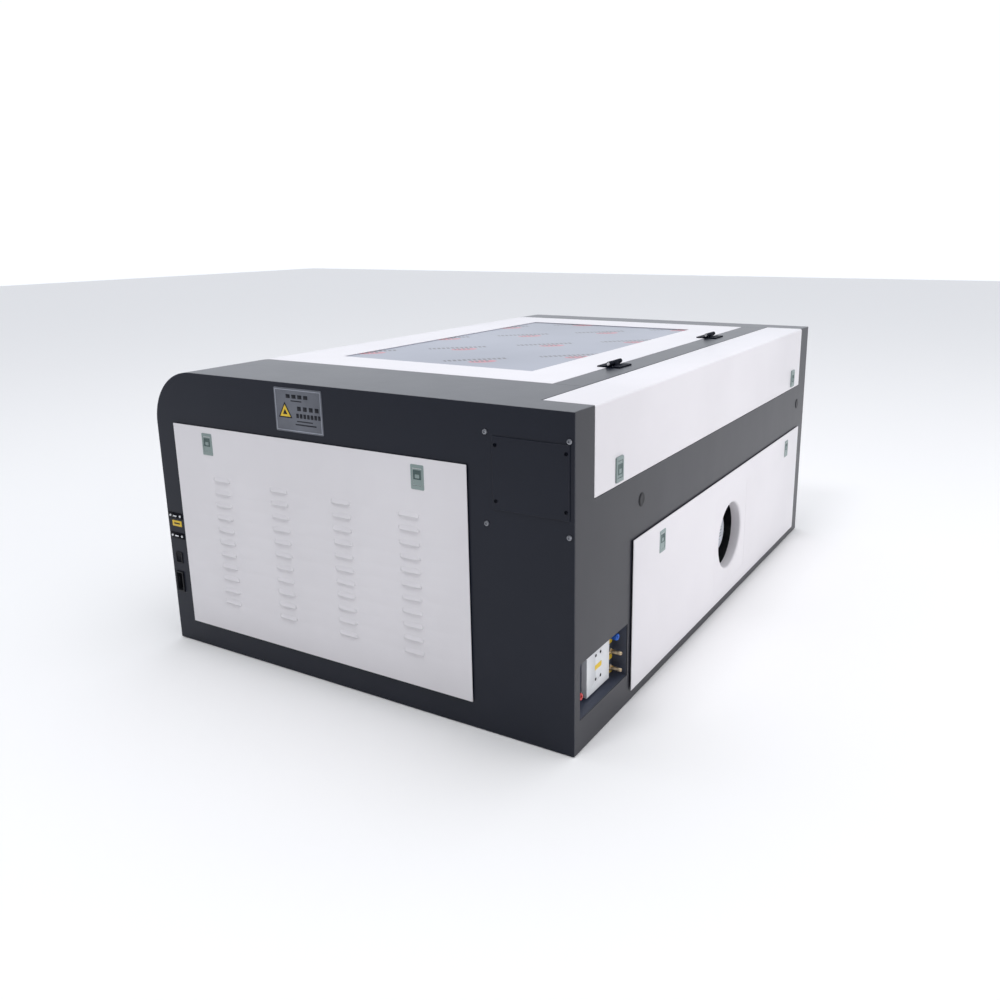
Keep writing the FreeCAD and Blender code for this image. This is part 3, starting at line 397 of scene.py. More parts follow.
class Finish(Enum):
    """Every finish on the machine."""

    # Each coat's fourth value is its edge colour, lighter than the paint: partly wear, partly a painted highlight.
    GRAPHITE = PowderCoat("graphite_powder_coat", paint(26, 30, 42), 0.34, 0.22, 0.05,
                          (0.20, 0.21, 0.24), 0.35, 0.0, 0.22, 0.6)
    # A warmer copy of the graphite paint with more sheen, for the rear wall only: painted reflection of the warm
    # floor, the same paint as the other walls.
    REAR_COAT = PowderCoat("graphite_rear_painted_reflection", paint(30, 31, 40), 0.34, 0.15, 0.05,
                           (0.20, 0.21, 0.24), 0.35, 0.0, 0.42, 0.4)
    DECK = PowderCoat("deck_gloss_coat", paint(27, 32, 44), 0.30, 0.10, 0.03,
                      (0.20, 0.21, 0.24), 0.3, 0.0, 0.36, 0.3)
    WHITE = PowderCoat("white_powder_coat", paint(232, 229, 232), 0.38, 0.2, 0.02, (0.95, 0.95, 0.97), 0.3)
    INNER = PowderCoat("inner_grey_coat", paint(150, 153, 160), 0.5, 0.3, 0.05)
    RECESS = PowderCoat("recess_blue_grey", paint(60, 66, 82), 0.4, 0.3, 0.08)
    LATCH = PowderCoat("latch_enamel", paint(138, 154, 152), 0.38, 0.35, 0.08, (0.55, 0.60, 0.59), 0.5)
    # A darker, greener copy of the latch colour for the finger windows: painted shade of the opening.
    LATCH_DARK = Moulded("latch_window", paint(62, 84, 82), 0.45, 0.15)
    BLACK = Moulded("black_nylon", paint(20, 21, 26), 0.42, 0.25, 0.0, 0.25)
    HINGE = Moulded("hinge_enamel", paint(10, 15, 28), 0.50, 0.08, 0.0, 0.03)
    GLOSS_BLACK = Moulded("black_gloss_enamel", paint(5, 8, 18), 0.26, 0.05, 0.0, 0.06)
    RUBBER = Moulded("black_rubber", paint(26, 26, 27), 0.75, 0.5)
    SOCKET = Moulded("socket_white", paint(246, 246, 248), 0.28, 0.06, 0.3)
    RED = Moulded("red_plastic", paint(222, 26, 38), 0.3, 0.08, 0.2)
    BLUE = Moulded("blue_plastic", paint(30, 86, 190), 0.3, 0.08, 0.3)
    YELLOW = Moulded("yellow_label", paint(226, 190, 44), 0.45, 0.05)
    LABEL_GREY = Moulded("label_grey", paint(120, 122, 128), 0.5, 0.05)
    INK = Moulded("label_ink", paint(24, 26, 34), 0.5, 0.05, 0.0, 0.2)
    LABEL_WHITE = Moulded("label_white", paint(225, 226, 230), 0.5, 0.05)
    FAN_LABEL = Moulded("fan_label_foil", paint(186, 189, 197), 0.4, 0.05)
    SCREEN = Moulded("screen_glass", paint(16, 20, 30), 0.12, 0.02, 1.0)
    GREEN = Moulded("circuit_green", paint(20, 92, 58), 0.4, 0.2)
    STEEL = Metal("bright_steel", (0.62, 0.62, 0.63), 0.25)
    PLATE = Metal("embossed_aluminium", (0.20, 0.21, 0.24), 0.45, (1.0, 40.0, 2.0))
    BORDER = Metal("plate_border", (0.44, 0.46, 0.52), 0.38, (1.0, 40.0, 2.0))
    ALUMINIUM = Metal("anodised_aluminium", (0.70, 0.71, 0.73), 0.35, (1.0, 40.0, 40.0))
    HONEYCOMB = Metal("honeycomb_foil", (0.72, 0.73, 0.75), 0.3, (6.0, 6.0, 1.0))
    BRASS = Metal("turned_brass", (0.88, 0.70, 0.46), 0.3, (8.0, 60.0, 8.0))
    SCREW = Metal("dull_steel_screw", (0.32, 0.33, 0.36), 0.42, (20.0, 20.0, 20.0))
    ZINC = Metal("zinc_sheet", (0.60, 0.62, 0.63), 0.36, (3.0, 3.0, 3.0))
    GLASS = Clear("borosilicate_glass", (0.80, 0.92, 0.92), 0.28)
    CORE = Clear("discharge_bore", (0.80, 0.70, 0.95), 0.4)
    FILM = FilmedSheet("filmed_acrylic", paint(131, 137, 155))

    def material(self) -> bpy.types.Material:
        """The finish's material, built once."""
        if self.value.name not in bpy.data.materials:
            self.value.make()
        return bpy.data.materials[self.value.name]


# ---------------------------------------------------------------- surfaces


class Side(Enum):
    """A side of the machine: its across, up and outward directions."""

    RIGHT = ((0, 1, 0), (0, 0, 1), (1, 0, 0))
    LEFT = ((0, -1, 0), (0, 0, 1), (-1, 0, 0))
    REAR = ((-1, 0, 0), (0, 0, 1), (0, 1, 0))
    FRONT = ((1, 0, 0), (0, 0, 1), (0, -1, 0))
    TOP = ((1, 0, 0), (0, 1, 0), (0, 0, 1))

    def points(self, origin: object, across: np.ndarray, up: np.ndarray, out: np.ndarray) -> np.ndarray:
        """Origin plus across, up and out times this side's directions.

        Args:
            origin: the place all three start from.
            across, up, out: arrays that broadcast together.

        Returns:
            The points, with a last axis of three.
        """
        directions = np.array(self.value, float)
        across, up, out = np.broadcast_arrays(across, up, out)
        return np.asarray(origin, float) + np.stack([across, up, out], -1) @ directions


def mesh_piece(name: str, points: np.ndarray, faces: list, body: str, finish: Finish, slot: str,
               smooth: bool = True) -> bpy.types.Object:
    """Makes a piece from points and faces.

    Args:
        name: the piece's name.
        points: its vertices.
        faces: vertex numbers of each face.
        body: the body that it rides on.
        finish: its finish.
        slot: a slot name; not used.
        smooth: whether edges under 35 degrees are shaded smooth.

    Returns:
        The object.
    """
    mesh = bpy.data.meshes.new(name)
    mesh.from_pydata(points.reshape(-1, 3).tolist(), [], faces)
    mesh.update()
    if smooth:
        mesh.shade_smooth()
        mesh.set_sharp_from_angle(angle=math.radians(35))
    mesh.materials.append(finish.material())
    piece = bpy.data.objects.new(name, mesh)
    bpy.context.scene.collection.objects.link(piece)
    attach(piece, body)
    return piece


def band_faces(rows: int, columns: int, closed: bool, first: int = 0) -> list:
    """Quads between neighbouring rows of a grid; closed joins the last column to the first."""
    row, column = np.meshgrid(np.arange(rows - 1), np.arange(columns if closed else columns - 1), indexing="ij")
    after = (column + 1) % columns
    quads = np.stack([row * columns + column, row * columns + after,
                      (row + 1) * columns + after, (row + 1) * columns + column], -1)
    return (quads.reshape(-1, 4) + first).tolist()


@dataclass(frozen=True)
class Outline:
    """A rectangle with round corners, or a circle where the radius is half the width."""

    width: float
    height: float
    radius: float
    steps: int = 5

    def ring(self, inset: float) -> np.ndarray:
        """The outline moved inwards by inset: four arcs joined by straight sides, counter-clockwise."""
        radius = max(self.radius - inset, 1e-5)
        half_w, half_h = self.width / 2 - inset - radius, self.height / 2 - inset - radius
        angle = np.linspace(0, math.pi / 2, self.steps)[None, :] + np.arange(4)[:, None] * math.pi / 2
        centre_x = np.array([half_w, -half_w, -half_w, half_w])[:, None]
        centre_y = np.array([half_h, half_h, -half_h, -half_h])[:, None]
        return np.stack([centre_x + radius * np.cos(angle), centre_y + radius * np.sin(angle)], -1).reshape(-1, 2)


def circle(radius: float, steps: int = 10) -> Outline:
    """A round outline."""
    return Outline(2 * radius, 2 * radius, radius, steps)


def stack(outline: Outline, profile: Profile, side: Side, origin: object,
          inner: Outline | None = None, pocket: tuple = (), lift: float = 0.0) -> tuple:
    """A closed solid: the outline at each (inset, height) of a profile, joined in order and capped at both ends.

    Args:
        outline: the plan.
        profile: insets and heights from the foot to the last ring.
        side: which way out is.
        origin: where the middle of the foot is.
        inner: a second plan with as many points, for a pocket in the top.
        pocket: insets and heights of the second plan's rings, which follow the profile's.
        lift: how far up the second plan's middle is.

    Returns:
        Its points and faces.
    """
    rings = np.stack([outline.ring(inset) for inset, _ in profile]
                     + [inner.ring(inset) + [0.0, lift] for inset, _ in pocket])
    heights = np.array([height for _, height in (*profile, *pocket)])[:, None]
    points = side.points(origin, rings[..., 0], rings[..., 1], heights)
    rows, columns = rings.shape[:2]
    faces = band_faces(rows, columns, True)
    faces.append(list(range(columns))[::-1])
    faces.append([(rows - 1) * columns + index for index in range(columns)])
    return points.reshape(-1, 3), faces


def merged(parts: list[tuple]) -> tuple:
    """Several (points, faces) in one."""
    points, faces, count = [], [], 0
    for some_points, some_faces in parts:
        points.append(some_points.reshape(-1, 3))
        faces += [[index + count for index in face] for face in some_faces]
        count += len(points[-1])
    return np.concatenate(points), faces


def slab_profile(thick: float, soft: float) -> list[tuple[float, float]]:
    """A flat solid with its outer rim rounded by soft: a quarter circle from the wall to the face."""
    turn = np.linspace(0, math.pi / 2, 4)
    rim = [(soft * (1 - math.cos(a)), thick - soft + soft * math.sin(a)) for a in turn]
    return [(0.0, 0.0), *rim]


def pad(outline: Outline, thick: float, side: Side, origin: object, soft: float = 0.4 * MM) -> tuple:
    """A flat solid standing thick out from origin, with its outer rim rounded.

    Args:
        outline: the plan.
        thick: how far it stands out.
        side: which way out is.
        origin: where the middle of the foot is.
        soft: the rim's radius.

    Returns:
        Its points and faces.
    """
    return stack(outline, slab_profile(thick, soft), side, origin)


def slab_piece(name: str, side: Side, origin: object, size: tuple[float, float, float], body: str, finish: Finish,
               slot: str, radius: float = 1 * MM, soft: float = 0.4 * MM) -> bpy.types.Object:
    """A flat piece with round corners and a soft rim, standing size[2] out from origin."""
    shape = stack(Outline(size[0], size[1], radius), slab_profile(size[2], soft), side, origin)
    return mesh_piece(name, *shape, body, finish, slot)


def refined(node: str, body: str, finish: Finish, soft: float = 0.6 * MM) -> bpy.types.Object:
    """A copy of a CAD node with its doubles merged and its sharp edges rounded, which stands for the node.

    Args:
        node: the CAD node.
        body: its body.
        finish: the finish.
        soft: the edge radius.

    Returns:
        The piece.
    """
    source = frame["nodes"][node]
    mesh = source.data.copy()
    work = bmesh.new()
    work.from_mesh(mesh)
    bmesh.ops.remove_doubles(work, verts=work.verts, dist=0.01 * MM)
    bmesh.ops.dissolve_limit(work, angle_limit=math.radians(0.5), verts=work.verts, edges=work.edges)
    work.to_mesh(mesh)
    work.free()
    mesh.materials.clear()
    mesh.materials.append(finish.material())
    piece = bpy.data.objects.new(node + "_finished", mesh)
    bpy.context.scene.collection.objects.link(piece)
    bevel = piece.modifiers.new("soft_edges", "BEVEL")
    bevel.width, bevel.segments, bevel.limit_method, bevel.angle_limit = soft, 2, "ANGLE", math.radians(40)
    mesh.shade_smooth()
    mesh.set_sharp_from_angle(angle=math.radians(50))
    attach(piece, body)
    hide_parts(node)
    return piece


def dress(node: str, finish: Finish) -> None:
    """Gives a CAD node a finish."""
    data = frame["nodes"][node].data
    data.materials.clear()
    data.materials.append(finish.material())


def corners(node: str) -> tuple[np.ndarray, np.ndarray]:
    """The low and high corners of a CAD node's box.

    Args:
        node: the CAD node.

    Returns:
        Both corners.
    """
    low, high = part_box(node)
    return np.array(low), np.array(high)


def middle(node: str) -> np.ndarray:
    """The middle of a CAD node's box."""
    low, high = corners(node)
    return (low + high) / 2


def thicken(piece: bpy.types.Object, thick: float, soft: float = 0.0, offset: float = -1.0) -> None:
    """Gives a sheet its thickness, and rounds its edges where soft is more than 0.

    Args:
        piece: the sheet.
        thick: its thickness.
        soft: the edge radius.
        offset: -1 to thicken against the faces' direction, 0 to both sides.
    """
    wall = piece.modifiers.new("wall", "SOLIDIFY")
    wall.thickness, wall.offset = thick, offset
    if soft > 0:
        bevel = piece.modifiers.new("soft", "BEVEL")
        bevel.width, bevel.segments, bevel.limit_method = soft, 2, "ANGLE"


# ---------------------------------------------------------------- sub-assemblies


@dataclass
class Latch:
    """A flush paddle latch: a housing round a pocket, and a paddle in it with a finger window whose dark colour is
    painted shade of the opening.
    """

    width: float = 27 * MM
    height: float = 43 * MM
    proud: float = 3 * MM
    paddle_width: float = 19 * MM
    paddle_height: float = 28 * MM
    gap: float = 0.5 * MM
    above: float = 1.4 * MM
    window_width: float = 16 * MM
    window_height: float = 16 * MM
    window_up: float = 4 * MM

    def housing(self, name: str, side: Side, spot: np.ndarray, body: str) -> None:
        """The housing on the panel's face at spot: out, over a soft rim, and down into the paddle's pocket."""
        outside = ((0, -1 * MM), (0, self.proud - 0.8 * MM), (0.3 * MM, self.proud - 0.2 * MM),
                   (0.9 * MM, self.proud))
        inside = ((0, self.proud), (0.1 * MM, self.proud - 0.4 * MM), (0.1 * MM, -0.8 * MM))
        room = Outline(self.paddle_width + 2 * self.gap, self.paddle_height + self.gap + self.above, 1.6 * MM)
        shape = stack(Outline(self.width, self.height, 2.0 * MM), outside, side, spot, room, inside,
                      (self.above - self.gap) / 2)
        mesh_piece(name, *shape, body, Finish.LATCH, "grey_latch")

    def paddle(self, side: Side, spot: np.ndarray) -> tuple:
        """The paddle's plate."""
        outside = steps((0, -1.8), (0, -0.4), (0.4, 0))
        return stack(Outline(self.paddle_width, self.paddle_height, 1.5 * MM), outside, side, spot)

    def window(self, side: Side, spot: np.ndarray) -> tuple[tuple, tuple]:
        """The window, a shallow dish with a raised rim in a darker copy of the latch colour that paints the shade of
        the finger opening, and the paler finger lip inside it.
        """
        high = np.asarray(spot) + np.array([0, 0, self.window_up])
        hole = stack(Outline(self.window_width, self.window_height, 1 * MM),
                     steps((0, -0.3), (0, 0.25), (0.5, 0.4), (1.2, 0.1)), side, high)
        low = high + np.array([0, 0, -0.16 * self.window_height])
        lip = stack(Outline(self.window_width * 0.55, self.window_height * 0.4, 1 * MM),
                    steps((0, 0), (0, 0.25), (1, 0.4)), side, low)
        return hole, lip

    def pair(self, name: str, side: Side, nodes: tuple[str, str], plane: float) -> None:
        """Both latches of one panel.

        Args:
            name: the pieces' name.
            side: the machine's side.
            nodes: the panel's and the paddles' body names, which are node names too.
            plane: where the panel's outer face is, along the side's outward axis.
        """
        low, high = corners(nodes[1])
        axis = int(np.argmax(np.abs(side.value[0])))
        out = int(np.argmax(np.abs(side.value[2])))
        sign = side.value[2][out]
        paddles, windows, lips = [], [], []
        for index, along in enumerate((low[axis] + self.paddle_width / 2, high[axis] - self.paddle_width / 2)):
            spot = (low + high) / 2
            spot[axis] = along
            spot[out] = plane
            self.housing("%s_latch_housing_%d" % (name, index + 1), side, spot, nodes[0])
            spot[out] = plane + sign * (self.proud - 0.5 * MM)
            paddles.append(self.paddle(side, spot))
            hole, lip = self.window(side, spot)
            windows.append(hole)
            lips.append(lip)
        piece = mesh_piece(name + "_latch_paddles", *merged(paddles), nodes[1], Finish.LATCH, "grey_latch")
        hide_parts(nodes[1])
        # The windows take the darker copy of the latch colour, painted shade.
        mesh_piece(name + "_latch_windows", *merged(windows), nodes[1], Finish.LATCH_DARK, "grey_latch")
        mesh_piece(name + "_latch_lips", *merged(lips), nodes[1], Finish.LATCH, "grey_latch")


@dataclass
class LouvredPanel:
    """A side panel: a pierced sheet with turned edges, and pressed hoods over its slots."""

    side: Side
    body: str
    rows: int = 11
    columns: int = 4
    first: float = -0.317
    pitch_across: float = 0.150
    low: float = 0.1115
    pitch_up: float = 0.0252
    length: float = 44 * MM
    rise: float = 12.5 * MM
    proud: float = 4.1 * MM
    thick: float = 2 * MM
    hood_thick: float = 1.0 * MM
    soft: float = 0.7 * MM
    slot_share: float = 0.45

    def slots(self) -> tuple[np.ndarray, np.ndarray]:
        """The slots' low corners along the machine's depth and up."""
        return (self.first + self.pitch_across * np.arange(self.columns),
                self.low + self.pitch_up * np.arange(self.rows))

    def sheet(self, low: np.ndarray, high: np.ndarray, face: float) -> None:
        """The sheet as a grid cut at every slot edge, without the cells of the slots."""
        along, up = self.slots()
        ys = np.unique(np.concatenate([[low[1], high[1]], along, along + self.length]))
        zs = np.unique(np.concatenate([[low[2], high[2]], up, up + self.slot_share * self.rise]))
        mid_y, mid_z = (ys[:-1] + ys[1:]) / 2, (zs[:-1] + zs[1:]) / 2
        in_y = ((mid_y[:, None] > along) & (mid_y[:, None] < along + self.length)).any(1)
        in_z = ((mid_z[:, None] > up) & (mid_z[:, None] < up + self.slot_share * self.rise)).any(1)
        keep = ~(in_y[:, None] & in_z[None, :])
        quads = np.array(band_faces(len(ys), len(zs), False)).reshape(len(ys) - 1, len(zs) - 1, 4)[keep]
        grid_y, grid_z = np.meshgrid(ys, zs, indexing="ij")
        points = np.stack([np.full_like(grid_y, face), grid_y, grid_z], -1)
        if self.side is Side.LEFT:
            quads = quads[:, ::-1]
        piece = mesh_piece(self.body + "_sheet", points, quads.tolist(), self.body, Finish.WHITE, "white_paint")
        thicken(piece, self.thick, self.soft)
        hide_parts(self.body)

    def hoods(self, face: float) -> None:
        """Hoods: out = proud * (1 - s^6)^0.5 * t^1.15 for s along the slot and t down from its top."""
        along, up = self.slots()
        s = np.linspace(-1, 1, 17)[:, None]
        t = np.linspace(0, 1, 7)[None, :]
        bulge = self.proud * np.sqrt(np.clip(1 - s ** 6, 0, 1)) * t ** 1.15
        across = (s + 1) / 2 * self.length + 0 * t
        height = self.rise * (1 - t) + 0 * s
        sign = self.side.value[2][0]
        one = np.stack([bulge * sign, across, height], -1)
        corner_y, corner_z = (grid.ravel() for grid in np.meshgrid(along, up, indexing="ij"))
        corners = np.stack([np.full_like(corner_y, face), corner_y, corner_z], -1)
        points = corners[:, None, None, :] + one[None]
        faces = np.array(band_faces(17, 7, False))
        if self.side is Side.RIGHT:
            faces = faces[:, ::-1]
        every = faces[None] + (np.arange(len(corners)) * 17 * 7)[:, None, None]
        piece = mesh_piece(self.body + "_louvres", points, every.reshape(-1, 4).tolist(), self.body,
                           Finish.WHITE, "white_paint")
        thicken(piece, self.hood_thick)

    def build(self) -> None:
        """The sheet, its hoods and its latches."""
        low, high = corners(self.body)
        sign = self.side.value[2][0]
        face = sign * (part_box("right_side_wall")[1][0] + self.thick)
        self.sheet(low, high, face)
        self.hoods(face)
        paddles = self.body.replace("panel", "latches")
        Latch().pair(self.body, self.side, (self.body, paddles), face)


@dataclass
class RearPanel:
    """The lower rear panel with its square exhaust flange and round collar."""

    flange: float = 0.222
    radius: float = 74.7 * MM
    thick: float = 2 * MM
    collar: float = 19 * MM
    soft: float = 0.7 * MM
    centre: tuple[float, float] = (-0.072, 0.160)

    def sheet(self, low: np.ndarray, high: np.ndarray, face: float) -> None:
        """The sheet as a grid with the flange's square left out."""
        half = self.flange / 2 - 6 * MM
        xs = np.array([low[0], self.centre[0] - half, self.centre[0] + half, high[0]])
        zs = np.array([low[2], self.centre[1] - half, self.centre[1] + half, high[2]])
        grid_x, grid_z = np.meshgrid(xs, zs, indexing="ij")
        points = np.stack([grid_x, np.full_like(grid_x, face), grid_z], -1)
        quads = [quad[::-1] for index, quad in enumerate(band_faces(4, 4, False)) if index != 4]
        piece = mesh_piece("rear_panel_sheet", points, quads, "rear_panel", Finish.WHITE, "white_paint")
        thicken(piece, self.thick, self.soft)
        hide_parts("rear_panel")

    def port(self, face: float) -> None:
        """Flange and collar: rings that pass from the square's rim to the circle, then inwards along the collar."""
        square = Outline(self.flange, self.flange, 3 * MM, 16)
        around = np.linspace(0, math.pi / 2, 16)[None, :] + np.arange(4)[:, None] * math.pi / 2
        round_ring = np.stack([np.cos(around), np.sin(around)], -1).reshape(-1, 2)
        rings = [(square.ring(0), 0.0), (square.ring(1 * MM), 0.5 * MM), (square.ring(4 * MM), 1.3 * MM),
                 (square.ring(6 * MM), 1.5 * MM),
                 *((round_ring * (self.radius + 5 * MM * (1 - math.sin(a))), 1.5 * MM - 5 * MM * (1 - math.cos(a)))
                   for a in np.linspace(0, math.pi / 2, 6)),
                 (round_ring * self.radius, -self.collar - self.thick),
                 (round_ring * (self.radius + 1.4 * MM), -self.collar - self.thick),
                 (round_ring * (self.radius + 1.4 * MM), -4 * MM), (round_ring * (self.radius + 8 * MM), -0.5 * MM),
                 (square.ring(0), 0.0)]
        plan = np.stack([ring for ring, _ in rings])
        out = np.array([height for _, height in rings])[:, None]
        origin = (self.centre[0], face, self.centre[1])
        points = Side.REAR.points(origin, plan[..., 0], plan[..., 1], out)
        mesh_piece("exhaust_flange", points, band_faces(len(rings), plan.shape[1], True), "rear_panel",
                   Finish.WHITE, "white_paint")

    def build(self) -> None:
        """The sheet, the port and the latches."""
        low, high = corners("rear_panel")
        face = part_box("rear_wall")[1][1] + self.thick
        self.sheet(low, high, face)
        self.port(face)
        Latch(window_up=5 * MM).pair("rear_panel", Side.REAR, ("rear_panel", "rear_latches"), face)


@dataclass
class TubeCover:
    """The L-shaped cover over the laser tube, bent from one sheet, with folded ends."""

    bend: float = 4 * MM
    thick: float = 2 * MM
    drop: float = 0.148
    soft: float = 0.7 * MM
    lip: float = 20 * MM

    def build(self) -> None:
        """The profile runs over the top, round the bend and down the rear, and is carried along X."""
        low, high = corners("tube_cover")
        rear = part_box("rear_wall")[1][1]
        turn = np.linspace(0, math.pi / 2, 7)
        outer_y = np.concatenate([[low[1]], rear - self.bend + self.bend * np.sin(turn), [rear]])
        outer_z = np.concatenate([[high[2]], high[2] - self.bend + self.bend * np.cos(turn), [high[2] - self.drop]])
        xs = np.array([low[0], high[0]])
        points = np.stack(np.broadcast_arrays(xs[:, None], outer_y[None], outer_z[None]), -1)
        faces = band_faces(2, len(outer_y), False)
        cover = mesh_piece("tube_cover_sheet", points, [face[::-1] for face in faces], "tube_cover", Finish.WHITE,
                           "white_paint")
        thicken(cover, self.thick, self.soft)
        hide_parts("tube_cover")
        for name, x in (("left", low[0] + 2.2 * MM), ("right", high[0] - 2.2 * MM)):
            slab_piece("cover_end_%s_top" % name, Side.RIGHT,
                       (x - 1 * MM, (low[1] + rear) / 2, high[2] - 2 * MM - self.lip / 2),
                       (rear - low[1] - 12 * MM, self.lip, 2 * MM), "tube_cover", Finish.WHITE, "white_paint")
            slab_piece("cover_end_%s_rear" % name, Side.RIGHT,
                       (x - 1 * MM, rear - 2 * MM - self.lip / 2, high[2] - self.drop / 2 - 10 * MM),
                       (self.lip, self.drop - 26 * MM, 2 * MM), "tube_cover", Finish.WHITE, "white_paint")
        latch = Latch(window_height=18 * MM, window_up=0.0)
        latch.pair("tube_cover", Side.REAR, ("tube_cover", "cover_latches"), rear)


@dataclass
class Shell:
    """Walls, deck strips, plates and plugs of the body."""

    def build(self) -> None:
        """Rounds the sheet-metal nodes' edges and dresses the rest."""
        for node in ("right_side_wall", "left_side_wall", "front_wall", "access_plate"):
            refined(node, "frame", Finish.GRAPHITE)
        # The rear wall takes the warmer copy of the graphite paint, a painted reflection.
        refined("rear_wall", "frame", Finish.REAR_COAT)
        for node in ("right_shroud", "left_shroud", "rear_deck"):
            refined(node, "frame", Finish.DECK, 0.5 * MM)
        dress("base_pan", Finish.GRAPHITE)
        dress("rubber_feet", Finish.RUBBER)
        self.plugs()
        self.screws()

    def plugs(self) -> None:
        """Domed black plugs in the two rear holes."""
        low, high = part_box("hole_plugs")
        shapes = []
        radius = (high[2] - low[2]) / 2
        for x in (low[0] + radius, high[0] - radius):
            profile = steps((1, -4), (0, 0), (0, 0.5), (1.5, 1.2), (4, 1.5), (7, 1.2))
            shapes.append(stack(circle(radius), profile, Side.REAR, (x, high[1] - 1.5 * MM, (low[2] + high[2]) / 2)))
        piece = mesh_piece("hole_plug_caps", *merged(shapes), "frame", Finish.BLACK, "black_plastic")
        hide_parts("hole_plugs")

    def screws(self) -> None:
        """Pan heads with a hex socket: a domed turn, then down into the recess."""
        for node, radius, finish, slot in (("steel_screws", 4.5 * MM, Finish.SCREW, "steel"),
                                           ("black_screws", 3 * MM, Finish.GLOSS_BLACK, "black_metal")):
            low, high = corners(node)
            tall = high[0] - low[0]
            profile = [(0, 0), (0, tall * 0.4), (radius * 0.15, tall * 0.8), (radius * 0.45, tall),
                       (radius * 0.55, tall), (radius * 0.6, tall * 0.3)]
            shapes = [stack(circle(radius, 5), profile, Side.RIGHT, (low[0], y, z))
                      for y in (low[1] + radius, high[1] - radius) for z in (low[2] + radius, high[2] - radius)]
            piece = mesh_piece(node + "_heads", *merged(shapes), "frame", finish, slot)
            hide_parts(node)


@dataclass
class DataPlate:
    """The embossed plate on the right side, with a blank caution triangle and plain blocks in place of text."""

    border: float = 1.5 * MM
    rim: float = 2.5 * MM
    triangle: float = 19 * MM

    def blocks(self) -> list[tuple[float, float, float, float]]:
        """The blocks' width, height and place from the plate's middle: a heading, two rows, and two thin lines."""
        heading = [(10 * MM, 7 * MM, (index - 1.5) * 14 * MM - 2 * MM, 25 * MM) for index in range(4)]
        first = [(9 * MM, 8 * MM, 2 * MM + index * 14 * MM, 4 * MM) for index in range(4)]
        second = [(6 * MM, 8 * MM, (index - 0.3) * 8.6 * MM, -9 * MM) for index in range(7)]
        lines = [(26 * MM, 2 * MM, -4 * MM, 17 * MM), (38 * MM, 2 * MM, 14 * MM, -19 * MM),
                 (50 * MM, 2.4 * MM, 16 * MM, -25 * MM)]
        return heading + first + second + lines

    def build(self) -> None:
        """Plate with a raised border, the triangle and the blocks."""
        low, high = corners("data_plate")
        spot = (low + high) / 2
        spot[0] = low[0]
        size = high - low
        whole = Outline(size[1], size[2], 3 * MM)
        profile = [(0, 0), (0, 0.4 * MM), (0.2 * MM, 0.55 * MM), (self.rim * 2, 0.55 * MM)]
        plate = mesh_piece("data_plate_sheet", *stack(whole, profile, Side.RIGHT, spot), "frame", Finish.PLATE,
                           "silver_plate")
        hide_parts("data_plate")
        inner = self.rim + self.border
        ridge = [(self.rim, 0.5 * MM), (self.rim, 0.8 * MM), (self.rim + 0.4 * MM, 1.0 * MM),
                 (inner - 0.4 * MM, 1.0 * MM), (inner, 0.8 * MM), (inner, 0.5 * MM)]
        points, faces = stack(whole, ridge, Side.RIGHT, spot)
        mesh_piece("data_plate_border", points, faces[:-2], "frame", Finish.BORDER, "silver_plate")
        face = low[0] + 0.5 * MM
        bars = [stack(Outline(wide, tall, 0.7 * MM), steps((0, 0), (0, 0.15), (0.2, 0.25)), Side.RIGHT,
                      (face, spot[1] + along, spot[2] + up)) for wide, tall, along, up in self.blocks()]
        mesh_piece("data_plate_blocks", *merged(bars), "frame", Finish.INK, "silver_plate")
        centre = (face, spot[1] - 0.28 * size[1], spot[2] - 5 * MM)
        for name, reach, height, finish in (("edge", self.triangle, 0.2 * MM, Finish.INK),
                                            ("field", self.triangle * 0.76, 0.35 * MM, Finish.YELLOW),
                                            ("mark", self.triangle * 0.34, 0.45 * MM, Finish.INK)):
            self.corner_plate("data_plate_triangle_" + name, centre, reach, height, finish)

    def corner_plate(self, name: str, centre: tuple, reach: float, height: float, finish: Finish) -> None:
        """A flat triangle whose corners are reach from its middle."""
        angle = np.radians([90, 210, 330])
        ring = np.stack([np.stack([np.cos(angle), np.sin(angle)], -1) * reach] * 2)
        points = Side.RIGHT.points(centre, ring[..., 0], ring[..., 1], np.array([0, height])[:, None])
        faces = band_faces(2, 3, True) + [[2, 1, 0], [3, 4, 5]]
        mesh_piece(name, points, faces, "frame", finish, "silver_plate", False)


